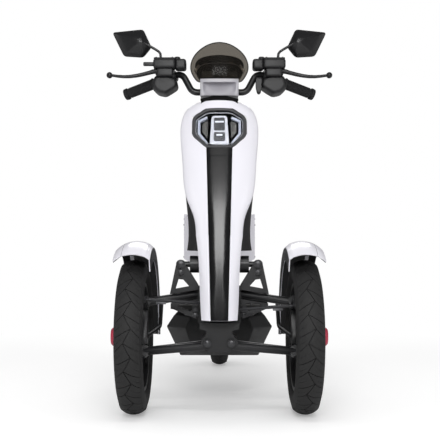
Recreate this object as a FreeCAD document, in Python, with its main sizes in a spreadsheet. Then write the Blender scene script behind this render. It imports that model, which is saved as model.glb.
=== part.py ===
import FreeCAD, Part
import math
import os
import re
import Sketcher
from FreeCAD import Placement, Rotation, Vector

doc = FreeCAD.newDocument("LeaningTrike")
sheet = doc.addObject("Spreadsheet::Sheet", "Sizes")
cells = []
nodes = []


def size(name, number, note):
    """One driving dimension: a plain number in the sheet, under a word."""
    cells.append(name)
    line = len(cells)
    sheet.set(f"A{line}", note)
    sheet.set(f"B{line}", str(number))
    sheet.setAlias(f"B{line}", name)


# Whole vehicle: forward is -Y, the ground is Z = 0
size("total_length", 1750, "front tyre to tail")
size("wheelbase", 1250, "front axle to rear axle")
size("track", 506, "between the front tyres' middles")
size("rake", 20, "lean of the steering axes, degrees")
size("shaft_play", 0.05, "radial clearance of a shaft in its hole")
size("seat_gap", 0.3, "between pieces that sit on each other")

# Wheels
size("tyre_radius", 230, "tyre")
size("tyre_width", 80, "tyre")
size("tread_half", 27, "half the tread between its shoulders")
size("shoulder_drop", 8, "shoulder below the crown of the tread")
size("rim_radius", 162, "outside of the rim flange")
size("rim_width", 62, "over the flanges")
size("flange_wall", 3.2, "rim flange at its edge")
size("bead_drop", 6.3, "bead seat below the flange")
size("well_drop", 24, "well of the rim below the flange")
size("well_half", 14, "half the width of the well")
size("rim_wall", 5, "rim")
size("hub_radius", 32, "front hub")
size("hub_start", 2, "inner end of the front hub, outboard of the wheel's middle")
size("hub_outer", 47, "front hub, outboard of the wheel's middle")
size("spoke_count", 5, "cast spokes")
size("spoke_root", 30, "spoke at the hub")
size("spoke_tip", 22, "spoke at the rim")
size("spoke_depth", 14, "spoke along the axle")
size("spoke_start", 15, "inner face of the front spokes, from the middle")
size("axle_radius", 10, "stub axle")
size("axle_reach", 38, "stub axle past the wheel's middle")
size("cap_radius", 27.5, "red hub cap")
size("cap_length", 22, "red hub cap")
size("cap_chamfer", 4, "red hub cap")
size("disc_radius", 82, "front brake disc")
size("disc_inner", 46, "front brake disc")
size("disc_wall", 4, "front brake disc")
size("disc_slots", 8, "holes in the brake disc")
size("motor_radius", 92, "motor in the rear hub")
size("motor_width", 96, "motor in the rear hub")
size("motor_boss", 26, "boss on each motor cover")
size("rear_axle_radius", 8, "rear axle")
size("rear_axle_half", 92, "half of the rear axle's length")

# Knuckles
size("kingpin_x", 225, "steering axis of a front wheel")
size("upper_reach", 108, "upper ball joint above the axle, along the pin")
size("lower_reach", 45, "lower ball joint below the axle, along the pin")
size("eye_radius", 17, "arm end that holds a ball joint")
size("eye_length", 24, "arm end that holds a ball joint")
size("pin_radius", 7, "ball joint stud")
size("pin_entry", 12, "stud inside the arm end")
size("knuckle_wall", 20, "knuckle across the vehicle")
size("knuckle_half", 17, "half the knuckle's upright, fore and aft")
size("steer_arm", 75, "tie rod pin from the steering axis")
size("steer_arm_level", 84, "tie rod pin above the axle, along the pin")
size("steer_arm_wall", 9, "steering arm")
size("rod_pin_radius", 5, "tie rod pin")
size("rod_eye_radius", 11, "tie rod end")
size("rod_eye_wall", 10, "tie rod end")
size("rod_radius", 5, "tie rod")

# Steering column and handlebar
size("bar_y", -300, "handlebar clamp")
size("bar_z", 1034, "handlebar clamp")
size("shaft_radius", 14, "steering shaft")
size("head_radius", 25, "head tube")
size("head_wall", 4, "head tube")
size("head_top", 955, "head tube, height of its top")
size("head_foot", 365, "head tube, height of its foot")
size("bar_radius", 11, "handlebar tube")
size("bar_root", 92, "first bend of the handlebar from the middle")
size("bar_rise_x", 128, "second bend of the handlebar")
size("bar_rise", 68, "second bend above the clamp")
size("bar_end_x", 330, "end of the handlebar")
size("bar_end_drop", 61, "end of the handlebar below the second bend")
size("bar_end_back", 78, "end of the handlebar behind the clamp")
size("bar_bend", 28, "radius of the handlebar's bends")
size("grip_radius", 16.5, "grip")
size("grip_length", 112, "grip")
size("grip_flange", 20, "grip flange")
size("lever_ball", 10.5, "ball at the lever's tip")
size("stem_half", 26, "half the width of the clamp")
size("clamp_half", 15, "half the height of the clamp")
size("visor_wrap", 0.27, "how far the visor's sides run back, of the half width")
size("bowl_foot", 68, "brake reservoir above the clamp")
size("bowl_top", 102, "brake reservoir above the clamp")
size("switch_drop", 25, "switch housing below the bar's middle")
size("switch_radius", 27, "switch housing")

# Front suspension
size("arm_tube", 12.5, "radius of the arm tubes")
size("upper_pivot_x", 50, "upper arm pivot")
size("upper_pivot_z", 357, "upper arm pivot")
size("upper_pivot_front", -580, "upper arm pivot, front end")
size("upper_pivot_rear", -515, "upper arm pivot, rear end")
size("lower_pivot_x", 35, "lower arm pivot")
size("lower_pivot_z", 216, "lower arm pivot")
size("lower_pivot_front", -700, "lower arm pivot, front end")
size("lower_pivot_rear", -600, "lower arm pivot, rear end")
size("upper_sleeve", 14, "radius of the upper pivot sleeve")
size("lower_sleeve", 19, "radius of the lower pivot sleeve")
size("pivot_bolt", 6, "radius of the pivot bolts")
size("rocker_wall", 6, "rocker plates")
size("rocker_gap", 30, "between the two rocker plates")
size("rocker_y", -582, "middle of the rocker plates")
size("rocker_apex_x", 118, "damper bolt")
size("rocker_apex_z", 447, "damper bolt")
size("rocker_boss", 14, "rounding of the rocker's apex")
size("damper_radius", 26, "damper cans")
size("damper_can", 31, "length of each damper can")
size("damper_can_x", 90, "outer end of each damper can")
size("damper_rod", 9, "damper rod")
size("spring_radius", 22, "damper spring")
size("spring_wire", 4, "damper spring")

# Frame
size("plate_wall", 6, "plates of the front subframe")
size("beam_half", 28, "half the width of the front beam")
size("beam_top", 268, "front beam")
size("beam_foot", 235, "front beam")
size("beam_front", -706, "front beam")
size("beam_rear", -425, "front beam")
size("down_tube", 19, "radius of the down tube")
size("rail_radius", 12, "floor rails")
size("rail_x", 110, "floor rails")
size("rail_z", 284, "floor rails")
size("rail_front", -330, "floor rails, where they straighten")
size("rail_rear", 60, "floor rails, where they turn in")
size("rise_x", 62, "seat tubes where they rise")
size("rise_foot_y", 170, "seat tubes, foot of the rise")
size("rise_head_y", 232, "seat tubes, where they part again")
size("rise_head_z", 500, "seat tubes, where they part again")
size("rise_y", 262, "seat tubes, where they turn level")
size("upper_rail_x", 97, "seat tubes")
size("upper_rail_z", 600, "seat tubes")
size("upper_rail_rear", 742, "seat tubes, rear end")

# Bodywork
size("shell_wall", 3, "moulded panels")
size("shield_foot_y", -765, "shield, front of its foot")
size("shield_lean", 26, "lean of the shield's front, degrees")
size("shield_wrap", 0.5, "how far the sides run back, of the half width")
size("stripe_proud", 2, "stripe and lamp frame over the shield")
size("stripe_top_half", 41, "stripe, half width under the lamp")
size("stripe_foot_half", 24.5, "stripe, half width at its foot")
size("stripe_top_z", 832, "stripe, under the lamp")
size("panel_gap", 1, "gap around a panel let into the shield")
size("lamp_top", 954, "headlamp")
size("lamp_brow", 927, "headlamp, upper corners")
size("lamp_cheek", 868, "headlamp, lower corners")
size("lamp_foot", 817, "headlamp")
size("lamp_top_half", 43, "headlamp, half width of its top")
size("lamp_half", 88, "headlamp, half width")
size("lamp_foot_half", 41, "headlamp, half width of its foot")
size("lamp_frame", 11, "frame around the headlamp")
size("lamp_back", -410, "headlamp, back wall")
size("deck_wall", 15, "floorboard")
size("deck_half", 165, "floorboard")
size("deck_front", -362, "floorboard")
size("deck_rear", 128, "floorboard")
size("case_foot", 130, "battery case")
size("case_half", 184, "battery case, at its edge")
size("case_edge_z", 231, "battery case, height of its edge")
size("case_front", -325, "battery case")
size("case_rear", 120, "battery case")
size("seat_z", 652, "seat, underside")
size("seat_height", 88, "seat")
size("seat_half", 146, "seat")
size("seat_front", 118, "seat")
size("seat_rear", 668, "seat")
size("bucket_half", 70, "storage under the seat")
size("bucket_front", 298, "storage under the seat")
size("bucket_rear", 480, "storage under the seat")
size("bucket_foot", 486, "storage under the seat")
size("side_half", 140, "white side panels")
size("side_top", 646, "white side panels")
size("side_foot", 470, "white side panels")
size("side_front", 150, "white side panels")
size("side_rear", 690, "white side panels")

# Rear end
size("swing_pivot_y", 262, "swing arm pivot")
size("swing_pivot_z", 285, "swing arm pivot")
size("swing_half", 66, "swing arm legs, inner faces")
size("swing_wall", 12, "swing arm legs")
size("swing_depth", 44, "swing arm legs")
size("shock_x", 34, "rear shocks")
size("shock_foot_y", 312, "rear shocks, lower eyes")
size("shock_foot_z", 316, "rear shocks, lower eyes")
size("shock_head_y", 262, "rear shocks, upper eyes")
size("shock_head_z", 470, "rear shocks, upper eyes")
size("shock_radius", 21, "rear shocks, springs")
size("fender_radius", 262, "rear fender, inside")
size("fender_half", 58, "rear fender")
size("fender_wall", 3, "fenders")
size("rack_z", 702, "rack, tube middle")
size("rack_tube", 9, "rack tube")
size("rack_half", 96, "rack")
size("rack_front", 690, "rack")
size("rack_rear", 850, "rack")
size("rack_plate", 6, "rack plate")
size("rack_hole", 3.3, "rack plate, bolt holes")
size("rack_bolt_x", 120, "rack plate, bolts across")
size("rack_bolt_y", 70, "rack plate, bolts fore and aft")

# Front fenders
size("front_fender_radius", 272, "front fender, inside")
size("front_fender_inner", 56, "front fender, inside of its inner wall from the tyre's middle")
size("fender_sweep", 124, "front fender, from its rear end over the top, degrees")
size("fender_drop", 3, "front fender, rear end below the axle, degrees")
size("front_fender_outer", 50, "front fender, its outer edge from the tyre's middle")
sheet.recompute()

words = re.compile(r"\b(" + "|".join(cells) + r")\b")


def formula(text):
    """The same formula with each word pointing at its cell."""
    return words.sub(r"Sizes.\1", str(text))


def value(text):
    return float(sheet.evalExpression(formula(text)))


def bind(thing, **formulas):
    for name, text in formulas.items():
        thing.setExpression(name.replace("__", "."), formula(text))
    return thing


def place(thing, x="0", y="0", z="0", axis=None, angle="0"):
    if axis:
        thing.Placement = Placement(Vector(), Rotation(axis, 30))
        thing.setExpression("Placement.Rotation.Angle", formula(angle))
    bind(thing, Placement__Base__x=x, Placement__Base__y=y, Placement__Base__z=z)
    return thing


def node(name, thing):
    """Name a finished sub-part: its label is its file's name."""
    thing.Label = name
    nodes.append(thing)
    return thing


# The steering axes lean back by the rake; these give a point on one
def axis_y(y, reach):
    return f"({y}) + ({reach}) * sin(rake)"


def axis_z(z, reach):
    return f"({z}) + ({reach}) * cos(rake)"


FRONT_AXLE_Y = "(tyre_radius - total_length / 2)"
REAR_AXLE_Y = "(tyre_radius - total_length / 2 + wheelbase)"
AXLE_Z = "tyre_radius"
DECK_Z = "(rail_z + rail_radius + seat_gap)"
CASE_TOP = "(rail_z - rail_radius - seat_gap)"

# The pitman arm turns in the same plane as both knuckles' arms, so its height on the column follows theirs
PITMAN_Z = ("(bar_z - cos(rake) * ((bar_y - tyre_radius + total_length / 2) * sin(rake)"
            " + (bar_z - tyre_radius) * cos(rake) - steer_arm_level))")
COLUMN_FOOT_Y = f"(bar_y - (bar_z - {PITMAN_Z}) * tan(rake))"


def corner(sketch, kind, where, x, y, name):
    """Fix one end of a line, or a point, at two formulas from the origin."""
    for letter, text in (("X", x), ("Y", y)):
        number = value(text)
        index = sketch.addConstraint(Sketcher.Constraint("Distance" + letter, -1, 1, kind, where, number))
        sketch.renameConstraint(index, name + letter)
        sketch.setExpression(f"Constraints.{name}{letter}", formula(text))


def draw(sketch, corners):
    """A closed outline. A corner is two formulas; a third entry makes the next edge an arc through that point."""
    flat = [Vector(value(c[0]), value(c[1]), 0) for c in corners]
    start = []
    base = sketch.GeometryCount
    for i, this in enumerate(corners):
        here = flat[i]
        there = flat[(i + 1) % len(corners)]
        if len(this) == 3:
            middle = Vector(value(this[2][0]), value(this[2][1]), 0)
            clockwise = (middle - here).cross(there - middle).z < 0
            ends = (there, here) if clockwise else (here, there)
            sketch.addGeometry(Part.Arc(ends[0], middle, ends[1]))
            start.append(2 if clockwise else 1)
        else:
            sketch.addGeometry(Part.LineSegment(here, there))
            start.append(1)
    count = len(corners)
    for i in range(count):
        after = (i + 1) % count
        sketch.addConstraint(Sketcher.Constraint("Coincident", base + i, 3 - start[i], base + after, start[after]))
    for i, this in enumerate(corners):
        corner(sketch, base + i, start[i], this[0], this[1], f"p{base + i}")
    for i, this in enumerate(corners):
        if len(this) == 3:
            middle = Vector(value(this[2][0]), value(this[2][1]), 0)
            point = sketch.addGeometry(Part.Point(middle), True)
            corner(sketch, point, 1, this[2][0], this[2][1], f"m{base + i}")
            sketch.addConstraint(Sketcher.Constraint("PointOnObject", point, 1, base + i))
    return sketch


def ring(sketch, x, y, radius):
    """A circle at two formulas."""
    middle = Vector(value(x), value(y), 0)
    edge = sketch.addGeometry(Part.Circle(middle, Vector(0, 0, 1), value(radius)))
    corner(sketch, edge, 3, x, y, f"c{edge}")
    index = sketch.addConstraint(Sketcher.Constraint("Radius", edge, value(radius)))
    sketch.renameConstraint(index, f"r{edge}")
    sketch.setExpression(f"Constraints.r{edge}", formula(radius))
    return sketch


def new_sketch(body, name, role, offset="0"):
    """A sketch on one of the body's own planes, moved along that plane's normal."""
    sketch = body.newObject("Sketcher::SketchObject", name)
    plane = [item for item in body.Origin.OriginFeatures if item.Role == role][0]
    sketch.AttachmentSupport = [(plane, "")]
    sketch.MapMode = "FlatFace"
    if offset != "0":
        sketch.setExpression("AttachmentOffset.Base.z", formula(offset))
    return sketch


def new_body(name):
    return doc.addObject("PartDesign::Body", name)


def pad(body, sketch, length, both=False):
    feature = body.newObject("PartDesign::Pad", sketch.Name + "Pad")
    feature.Profile = sketch
    if both:
        feature.SideType = "Symmetric"
    return bind(feature, Length=length)


def pocket(body, sketch, through=True, both=False, length="1"):
    feature = body.newObject("PartDesign::Pocket", sketch.Name + "Pocket")
    feature.Profile = sketch
    if both:
        feature.SideType = "Symmetric"
    if through:
        feature.Type = "ThroughAll"
    else:
        bind(feature, Length=length)
    return feature


def turned(body, sketch, axis="H_Axis"):
    feature = body.newObject("PartDesign::Revolution", sketch.Name + "Turned")
    feature.Profile = sketch
    feature.ReferenceAxis = (sketch, [axis])
    feature.Angle = 360
    return feature


def around(body, feature, axis, count):
    """Repeat a feature around one of the body's own axes."""
    pattern = body.newObject("PartDesign::PolarPattern", feature.Name + "Round")
    pattern.Originals = [feature]
    line = [item for item in body.Origin.OriginFeatures if item.Role == axis][0]
    pattern.Axis = (line, [""])
    pattern.Angle = 360
    bind(pattern, Occurrences=count)
    body.Tip = pattern
    return pattern


def block(name, low, high):
    """A box between two corners, each three formulas."""
    box = doc.addObject("Part::Box", name)
    bind(box, Length=f"({high[0]}) - ({low[0]})", Width=f"({high[1]}) - ({low[1]})")
    bind(box, Height=f"({high[2]}) - ({low[2]})")
    return place(box, *low)


def rod(name, x, y, z, along, radius, length):
    """A cylinder from one point along X, Y or Z, or along a leaning steering axis."""
    bar = doc.addObject("Part::Cylinder", name)
    bind(bar, Radius=radius, Height=length)
    turns = {"X": (Vector(0, 1, 0), "90"), "Y": (Vector(1, 0, 0), "-90"),
             "across": (Vector(1, 0, 0), "-90 - rake"), "axis": (Vector(1, 0, 0), "-rake")}
    if along == "Z":
        return place(bar, x, y, z)
    return place(bar, x, y, z, *turns[along])


def join(name, *parts):
    fused = doc.addObject("Part::MultiFuse", name)
    fused.Shapes = list(parts)
    fused.Refine = True
    return fused


def cut(name, base, tool):
    result = doc.addObject("Part::Cut", name)
    result.Base = base
    result.Tool = tool
    return result


def overlap(name, *parts):
    result = doc.addObject("Part::MultiCommon", name)
    result.Shapes = list(parts)
    return result


def group(name, *parts):
    result = doc.addObject("Part::Compound", name)
    result.Links = list(parts)
    return result


def mirrored(name, source):
    """The same piece on the other side of the vehicle's middle plane."""
    result = doc.addObject("Part::Mirroring", name)
    result.Source = source
    result.Base = Vector(0, 0, 0)
    result.Normal = Vector(1, 0, 0)
    return result


def pair(name, source):
    """A right-hand piece and its mirror image, as one node."""
    return group(name, source, mirrored(name + "_other", source))


def tube(name, points, radius, bend="0", wall=None):
    """A bent tube: straight runs joined by tangent arcs, through points given by formulas."""
    doc.recompute()
    spots = [Vector(*[value(text) for text in spot]) for spot in points]
    edges = []
    last = spots[0]
    for before, here, after in zip(spots, spots[1:], spots[2:]):
        come = (before - here).normalize()
        leave = (after - here).normalize()
        half = come.getAngle(leave) / 2
        reach = value(bend) / math.tan(half)
        inward = (come + leave).normalize()
        middle = here + inward * (value(bend) / math.sin(half) - value(bend))
        edges.append(Part.LineSegment(last, here + come * reach).toShape())
        edges.append(Part.Arc(here + come * reach, middle, here + leave * reach).toShape())
        last = here + leave * reach
    edges.append(Part.LineSegment(last, spots[-1]).toShape())
    path = Part.Wire(edges)
    heading = (spots[1] - spots[0]).normalize()
    profile = Part.Wire(Part.Circle(spots[0], heading, value(radius)).toShape())
    solid = path.makePipeShell([profile], True, False)
    if wall:
        bore = Part.Wire(Part.Circle(spots[0], heading, value(radius) - value(wall)).toShape())
        solid = solid.cut(path.makePipeShell([bore], True, False))
    thing = doc.addObject("Part::Feature", name)
    thing.Shape = solid
    return thing


def plate(name, role, corners, start, thickness, holes=()):
    """A flat plate cut to an outline, with round holes, from a plane at start."""
    body = new_body(name)
    sketch = draw(new_sketch(body, name + "Outline", role, start), corners)
    for x, y, radius in holes:
        ring(sketch, x, y, radius)
    pad(body, sketch, thickness)
    return body


# Tyre, for all three wheels
def make_tyre(name):
    body = new_body(name)
    sketch = new_sketch(body, name + "Profile", "XY_Plane")
    bead = "(rim_width / 2 - flange_wall - 3)"
    lip = "(rim_width / 2 - flange_wall)"
    low = "(rim_radius - bead_drop + 0.3)"
    high = "(rim_radius + 1)"
    bulge = "(rim_radius + (tyre_radius - rim_radius) * 0.42)"
    shoulder = "(tyre_radius - shoulder_drop)"
    draw(sketch, [
        (f"-{bead}", low), (f"-{lip}", high, ("-tyre_width / 2", bulge)),
        ("-tread_half", shoulder, ("0", "tyre_radius")), ("tread_half", shoulder, ("tyre_width / 2", bulge)),
        (lip, high), (bead, low),
    ])
    turned(body, sketch)
    return body


def rim_outline(sketch):
    """Half of a cast rim's section, out to the flange, on both sides of the middle."""
    edge = "(rim_width / 2)"
    lip = "(rim_width / 2 - flange_wall)"
    bead = "(rim_width / 2 - flange_wall - 3)"
    seat = "(rim_radius - bead_drop)"
    under = "(rim_radius - bead_drop - rim_wall)"
    well = "(rim_radius - well_drop)"
    draw(sketch, [
        (f"-{edge}", "rim_radius"), (f"-{lip}", "rim_radius"), (f"-{bead}", seat), (bead, seat),
        (lip, "rim_radius"), (edge, "rim_radius"), (edge, under), ("well_half + 6", under),
        ("well_half", well), ("-well_half", well), ("-well_half - 6", under), (f"-{edge}", under),
    ])
    return sketch


def make_front_rim(name):
    body = new_body(name)
    turned(body, rim_outline(new_sketch(body, name + "Rim", "XY_Plane")))
    hub = new_sketch(body, name + "Hub", "XY_Plane")
    draw(hub, [
        ("hub_start", "0"), ("hub_outer", "0"), ("hub_outer", "hub_radius - 6"), ("hub_outer - 12", "hub_radius"),
        ("hub_start", "hub_radius"),
    ])
    spoke = new_sketch(body, name + "Spoke", "YZ_Plane", "spoke_start")
    tip = "(rim_radius - well_drop + 2)"
    draw(spoke, [("-spoke_root / 2", "hub_radius - 10"), ("spoke_root / 2", "hub_radius - 10"),
                 ("spoke_tip / 2", tip), ("-spoke_tip / 2", tip)])
    arm = pad(body, spoke, "spoke_depth")
    around(body, arm, "X_Axis", "spoke_count")
    turned(body, hub)
    bore = new_sketch(body, name + "Bore", "XY_Plane")
    draw(bore, [("hub_start - 1", "0"), ("axle_reach + 2", "0"), ("axle_reach + 2", "axle_radius + shaft_play"),
                ("hub_start - 1", "axle_radius + shaft_play")])
    groove = body.newObject("PartDesign::Groove", name + "BoreCut")
    groove.Profile = bore
    groove.ReferenceAxis = (bore, ["H_Axis"])
    groove.Angle = 360
    return body


def make_disc(name):
    """A drilled brake disc, bolted to the inner end of the hub by its carrier."""
    body = new_body(name)
    outline = new_sketch(body, name + "Ring", "YZ_Plane", "hub_start - disc_wall")
    ring(outline, "0", "0", "disc_radius")
    ring(outline, "0", "0", "hub_radius - 12")
    pad(body, outline, "disc_wall")
    hole = new_sketch(body, name + "Hole", "YZ_Plane", "hub_start")
    ring(hole, "0", "(disc_radius + disc_inner) / 2", "7")
    drilled = pocket(body, hole)
    around(body, drilled, "X_Axis", "disc_slots")
    return body


def make_cap(name):
    body = new_body(name)
    sketch = new_sketch(body, name + "Profile", "XY_Plane")
    start = "(hub_outer + seat_gap)"
    draw(sketch, [(start, "0"), (f"{start} + cap_length", "0"), (f"{start} + cap_length", "cap_radius - cap_chamfer"),
                  (f"{start} + cap_length - cap_chamfer", "cap_radius"), (start, "cap_radius")])
    turned(body, sketch)
    return body


def wheel_place(thing, side_x="track / 2"):
    return place(thing, side_x, FRONT_AXLE_Y, AXLE_Z)


def front_wheel():
    makers = (("front_tyre", make_tyre), ("front_rim", make_front_rim), ("brake_disc", make_disc), ("hub_cap", make_cap))
    for name, maker in makers:
        right = wheel_place(maker(name))
        node(name + "_right", right)
        node(name + "_left", mirrored(name + "_mirror", right))


def rear_wheel():
    node("rear_tyre", place(make_tyre("rear_tyre"), "0", REAR_AXLE_Y, AXLE_Z))
    rim = new_body("rear_rim")
    turned(rim, rim_outline(new_sketch(rim, "RearRim", "XY_Plane")))
    spoke = new_sketch(rim, "RearSpoke", "YZ_Plane", "-spoke_depth")
    tip = "(rim_radius - well_drop + 2)"
    draw(spoke, [("-spoke_root / 2", "motor_radius + seat_gap"), ("spoke_root / 2", "motor_radius + seat_gap"),
                 ("spoke_tip / 2", tip), ("-spoke_tip / 2", tip)])
    around(rim, pad(rim, spoke, "spoke_depth * 2"), "X_Axis", "spoke_count")
    node("rear_rim", place(rim, "0", REAR_AXLE_Y, AXLE_Z))
    motor = new_body("hub_motor")
    drum = new_sketch(motor, "MotorProfile", "XY_Plane")
    half = "(motor_width / 2)"
    draw(drum, [
        (f"-{half} - 8", "0"), (f"{half} + 8", "0"), (f"{half} + 8", "motor_boss"), (half, "motor_boss + 4"),
        (f"{half} - 8", "motor_radius - 10"), (f"{half} - 14", "motor_radius - 1"), ("spoke_depth", "motor_radius - 1"),
        ("spoke_depth", "motor_radius"), ("-spoke_depth", "motor_radius"), ("-spoke_depth", "motor_radius - 1"),
        (f"14 - {half}", "motor_radius - 1"), (f"8 - {half}", "motor_radius - 10"), (f"-{half}", "motor_boss + 4"),
        (f"-{half} - 8", "motor_boss"),
    ])
    turned(motor, drum)
    bore = new_sketch(motor, "MotorBore", "YZ_Plane", "motor_width")
    ring(bore, "0", "0", "rear_axle_radius + shaft_play")
    pocket(motor, bore)
    node("hub_motor", place(motor, "0", REAR_AXLE_Y, AXLE_Z))


# Knuckle, drawn upright in its own frame with the steering axis as Z
def make_knuckle():
    body = new_body("knuckle")
    low = "(-lower_reach + eye_radius + 1)"
    high = "(upper_reach - eye_radius - 1)"
    upright = new_sketch(body, "Upright", "YZ_Plane", "-knuckle_wall / 2")
    draw(upright, [
        ("-knuckle_half", low), ("knuckle_half", low), ("knuckle_half + 9", "0"), ("knuckle_half - 3", high),
        ("3 - knuckle_half", high), ("-knuckle_half - 9", "0"),
    ])
    pad(body, upright, "knuckle_wall")
    arm = new_sketch(body, "SteerArm", "XY_Plane", "steer_arm_level - steer_arm_wall / 2")
    draw(arm, [
        ("-12", "5 - knuckle_half"), ("-11", "-steer_arm", ("0", "-steer_arm - 11")), ("11", "-steer_arm"),
        ("12", "5 - knuckle_half"),
    ])
    pad(body, arm, "steer_arm_wall")
    pins = new_sketch(body, "Studs", "XY_Plane", "-lower_reach + eye_radius - pin_entry")
    ring(pins, "0", "0", "pin_radius")
    studs = pad(body, pins, "upper_reach + lower_reach - 2 * eye_radius + 2 * pin_entry")
    rod_pin = new_sketch(body, "RodPin", "XY_Plane", "steer_arm_level - steer_arm_wall / 2 - rod_eye_wall - 3")
    ring(rod_pin, "0", "-steer_arm", "rod_pin_radius")
    pad(body, rod_pin, "steer_arm_wall + 2 * rod_eye_wall + 6")
    return place(body, "kingpin_x", FRONT_AXLE_Y, AXLE_Z, Vector(1, 0, 0), "-rake")


def make_axle_and_caliper():
    """Stub axle with its shoulder, and the brake caliper on its bracket behind it."""
    inner = "(kingpin_x + knuckle_wall / 2 - 2)"
    axle = rod("stub_axle", inner, FRONT_AXLE_Y, AXLE_Z, "X", "axle_radius", f"track / 2 + axle_reach - {inner}")
    shoulder = rod("axle_shoulder", inner, FRONT_AXLE_Y, AXLE_Z, "X", "17",
                   f"track / 2 + hub_start - disc_wall - 0.5 - {inner}")
    body = new_body("caliper")
    outline = new_sketch(body, "CaliperOutline", "YZ_Plane", "spoke_start - 36")
    draw(outline, [("58", "-26"), ("98", "-30", ("104", "4")), ("94", "38"), ("56", "30")])
    pad(body, outline, "31")
    slot = new_sketch(body, "CaliperSlot", "YZ_Plane", "hub_start + 1.5")
    ring(slot, "0", "0", "disc_radius + 3")
    pocket(body, slot, False, False, "disc_wall + 3")
    place(body, "track / 2", FRONT_AXLE_Y, AXLE_Z)
    bracket = block("caliper_bracket", ("kingpin_x - 6", f"{FRONT_AXLE_Y} + 10", f"{AXLE_Z} - 16"),
                    ("kingpin_x + 14", f"{FRONT_AXLE_Y} + 70", f"{AXLE_Z} + 14"))
    return axle, shoulder, body, bracket


def make_front_fender():
    """A crowned shell over the top and the rear of the wheel, with a wall down its inner side."""
    body = new_body("front_fender")
    sketch = new_sketch(body, "FenderSection", "XY_Plane")
    top = "front_fender_radius"
    inside = "(-front_fender_inner)"
    outside = "front_fender_outer"
    draw(sketch, [
        (inside, f"{top} - 44"), (inside, f"{top} - 4"),
        (f"{inside} + 12", f"{top} + 6", ("0", f"{top} + 14")), (outside, f"{top} - 10"),
        (f"{outside} - 1", f"{top} - 10 - fender_wall", ("0", f"{top} + 14 - fender_wall")),
        (f"{inside} + 13", f"{top} + 6 - fender_wall"), (f"{inside} + fender_wall", f"{top} - 5"),
        (f"{inside} + fender_wall", f"{top} - 44"),
    ])
    shell = turned(body, sketch)
    bind(shell, Angle="fender_sweep")
    return place(body, "track / 2", FRONT_AXLE_Y, AXLE_Z, Vector(1, 0, 0), "-fender_drop")


def front_corner():
    """Knuckle with its axle and caliper, and the fender that turns with it."""
    axle, shoulder, caliper, bracket = make_axle_and_caliper()
    wall = "(track / 2 - front_fender_inner)"
    clip_y = f"{FRONT_AXLE_Y} + 222"
    clip_z = f"{AXLE_Z} + 95"
    stay = tube("fender_stay", [
        ("kingpin_x - 8", f"{FRONT_AXLE_Y} + 18", AXLE_Z), (f"{wall} - 9", f"{FRONT_AXLE_Y} + 150", f"{AXLE_Z} + 20"),
        (f"{wall} - 9", clip_y, clip_z),
    ], "6", "40")
    clip = rod("fender_clip", f"{wall} - 9", clip_y, clip_z, "X", "10", "9 - seat_gap")
    right = join("knuckle_all", make_knuckle(), axle, shoulder, caliper, bracket, stay, clip)
    fender = make_front_fender()
    node("knuckle_right", right)
    node("knuckle_left", mirrored("knuckle_mirror", right))
    node("front_fender_right", fender)
    node("front_fender_left", mirrored("fender_mirror", fender))


def tie_rod(name, side, level):
    """A tie rod between the pitman arm's pin and a knuckle's pin; level is above or below both arms."""
    lift = f"({level}) * (steer_arm_wall + rod_eye_wall) / 2 + ({level}) * 0.5"
    inner_y = f"{COLUMN_FOOT_Y} - steer_arm * cos(rake) + ({lift}) * sin(rake)"
    inner_z = f"{PITMAN_Z} + steer_arm * sin(rake) + ({lift}) * cos(rake)"
    outer_y = f"{axis_y(FRONT_AXLE_Y, 'steer_arm_level')} - steer_arm * cos(rake) + ({lift}) * sin(rake)"
    outer_z = f"{axis_z(AXLE_Z, 'steer_arm_level')} + steer_arm * sin(rake) + ({lift}) * cos(rake)"
    ends = []
    holes = []
    for mark, x, y, z in (("a", "0", inner_y, inner_z), ("b", f"({side}) * kingpin_x", outer_y, outer_z)):
        start_y = f"{y} - rod_eye_wall / 2 * sin(rake)"
        start_z = f"{z} - rod_eye_wall / 2 * cos(rake)"
        ends.append(rod(f"{name}_eye_{mark}", x, start_y, start_z, "axis", "rod_eye_radius", "rod_eye_wall"))
        play = "rod_pin_radius + shaft_play"
        low_y = f"{start_y} - 3 * sin(rake)"
        low_z = f"{start_z} - 3 * cos(rake)"
        holes.append(rod(f"{name}_hole_{mark}", x, low_y, low_z, "axis", play, "rod_eye_wall + 6"))
    bar = tube(name + "_bar", [("0", inner_y, inner_z), (f"({side}) * kingpin_x", outer_y, outer_z)], "rod_radius")
    solid = join(name + "_solid", *ends, bar)
    bored = cut(name + "_bored", solid, join(name + "_holes", *holes))
    doc.recompute()
    keep = max(bored.Shape.Solids, key=lambda piece: piece.Volume)
    if len(bored.Shape.Solids) > 1:
        raise ValueError(f"{name} fell into pieces: {keep.Volume}")
    node(name, bored)


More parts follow.
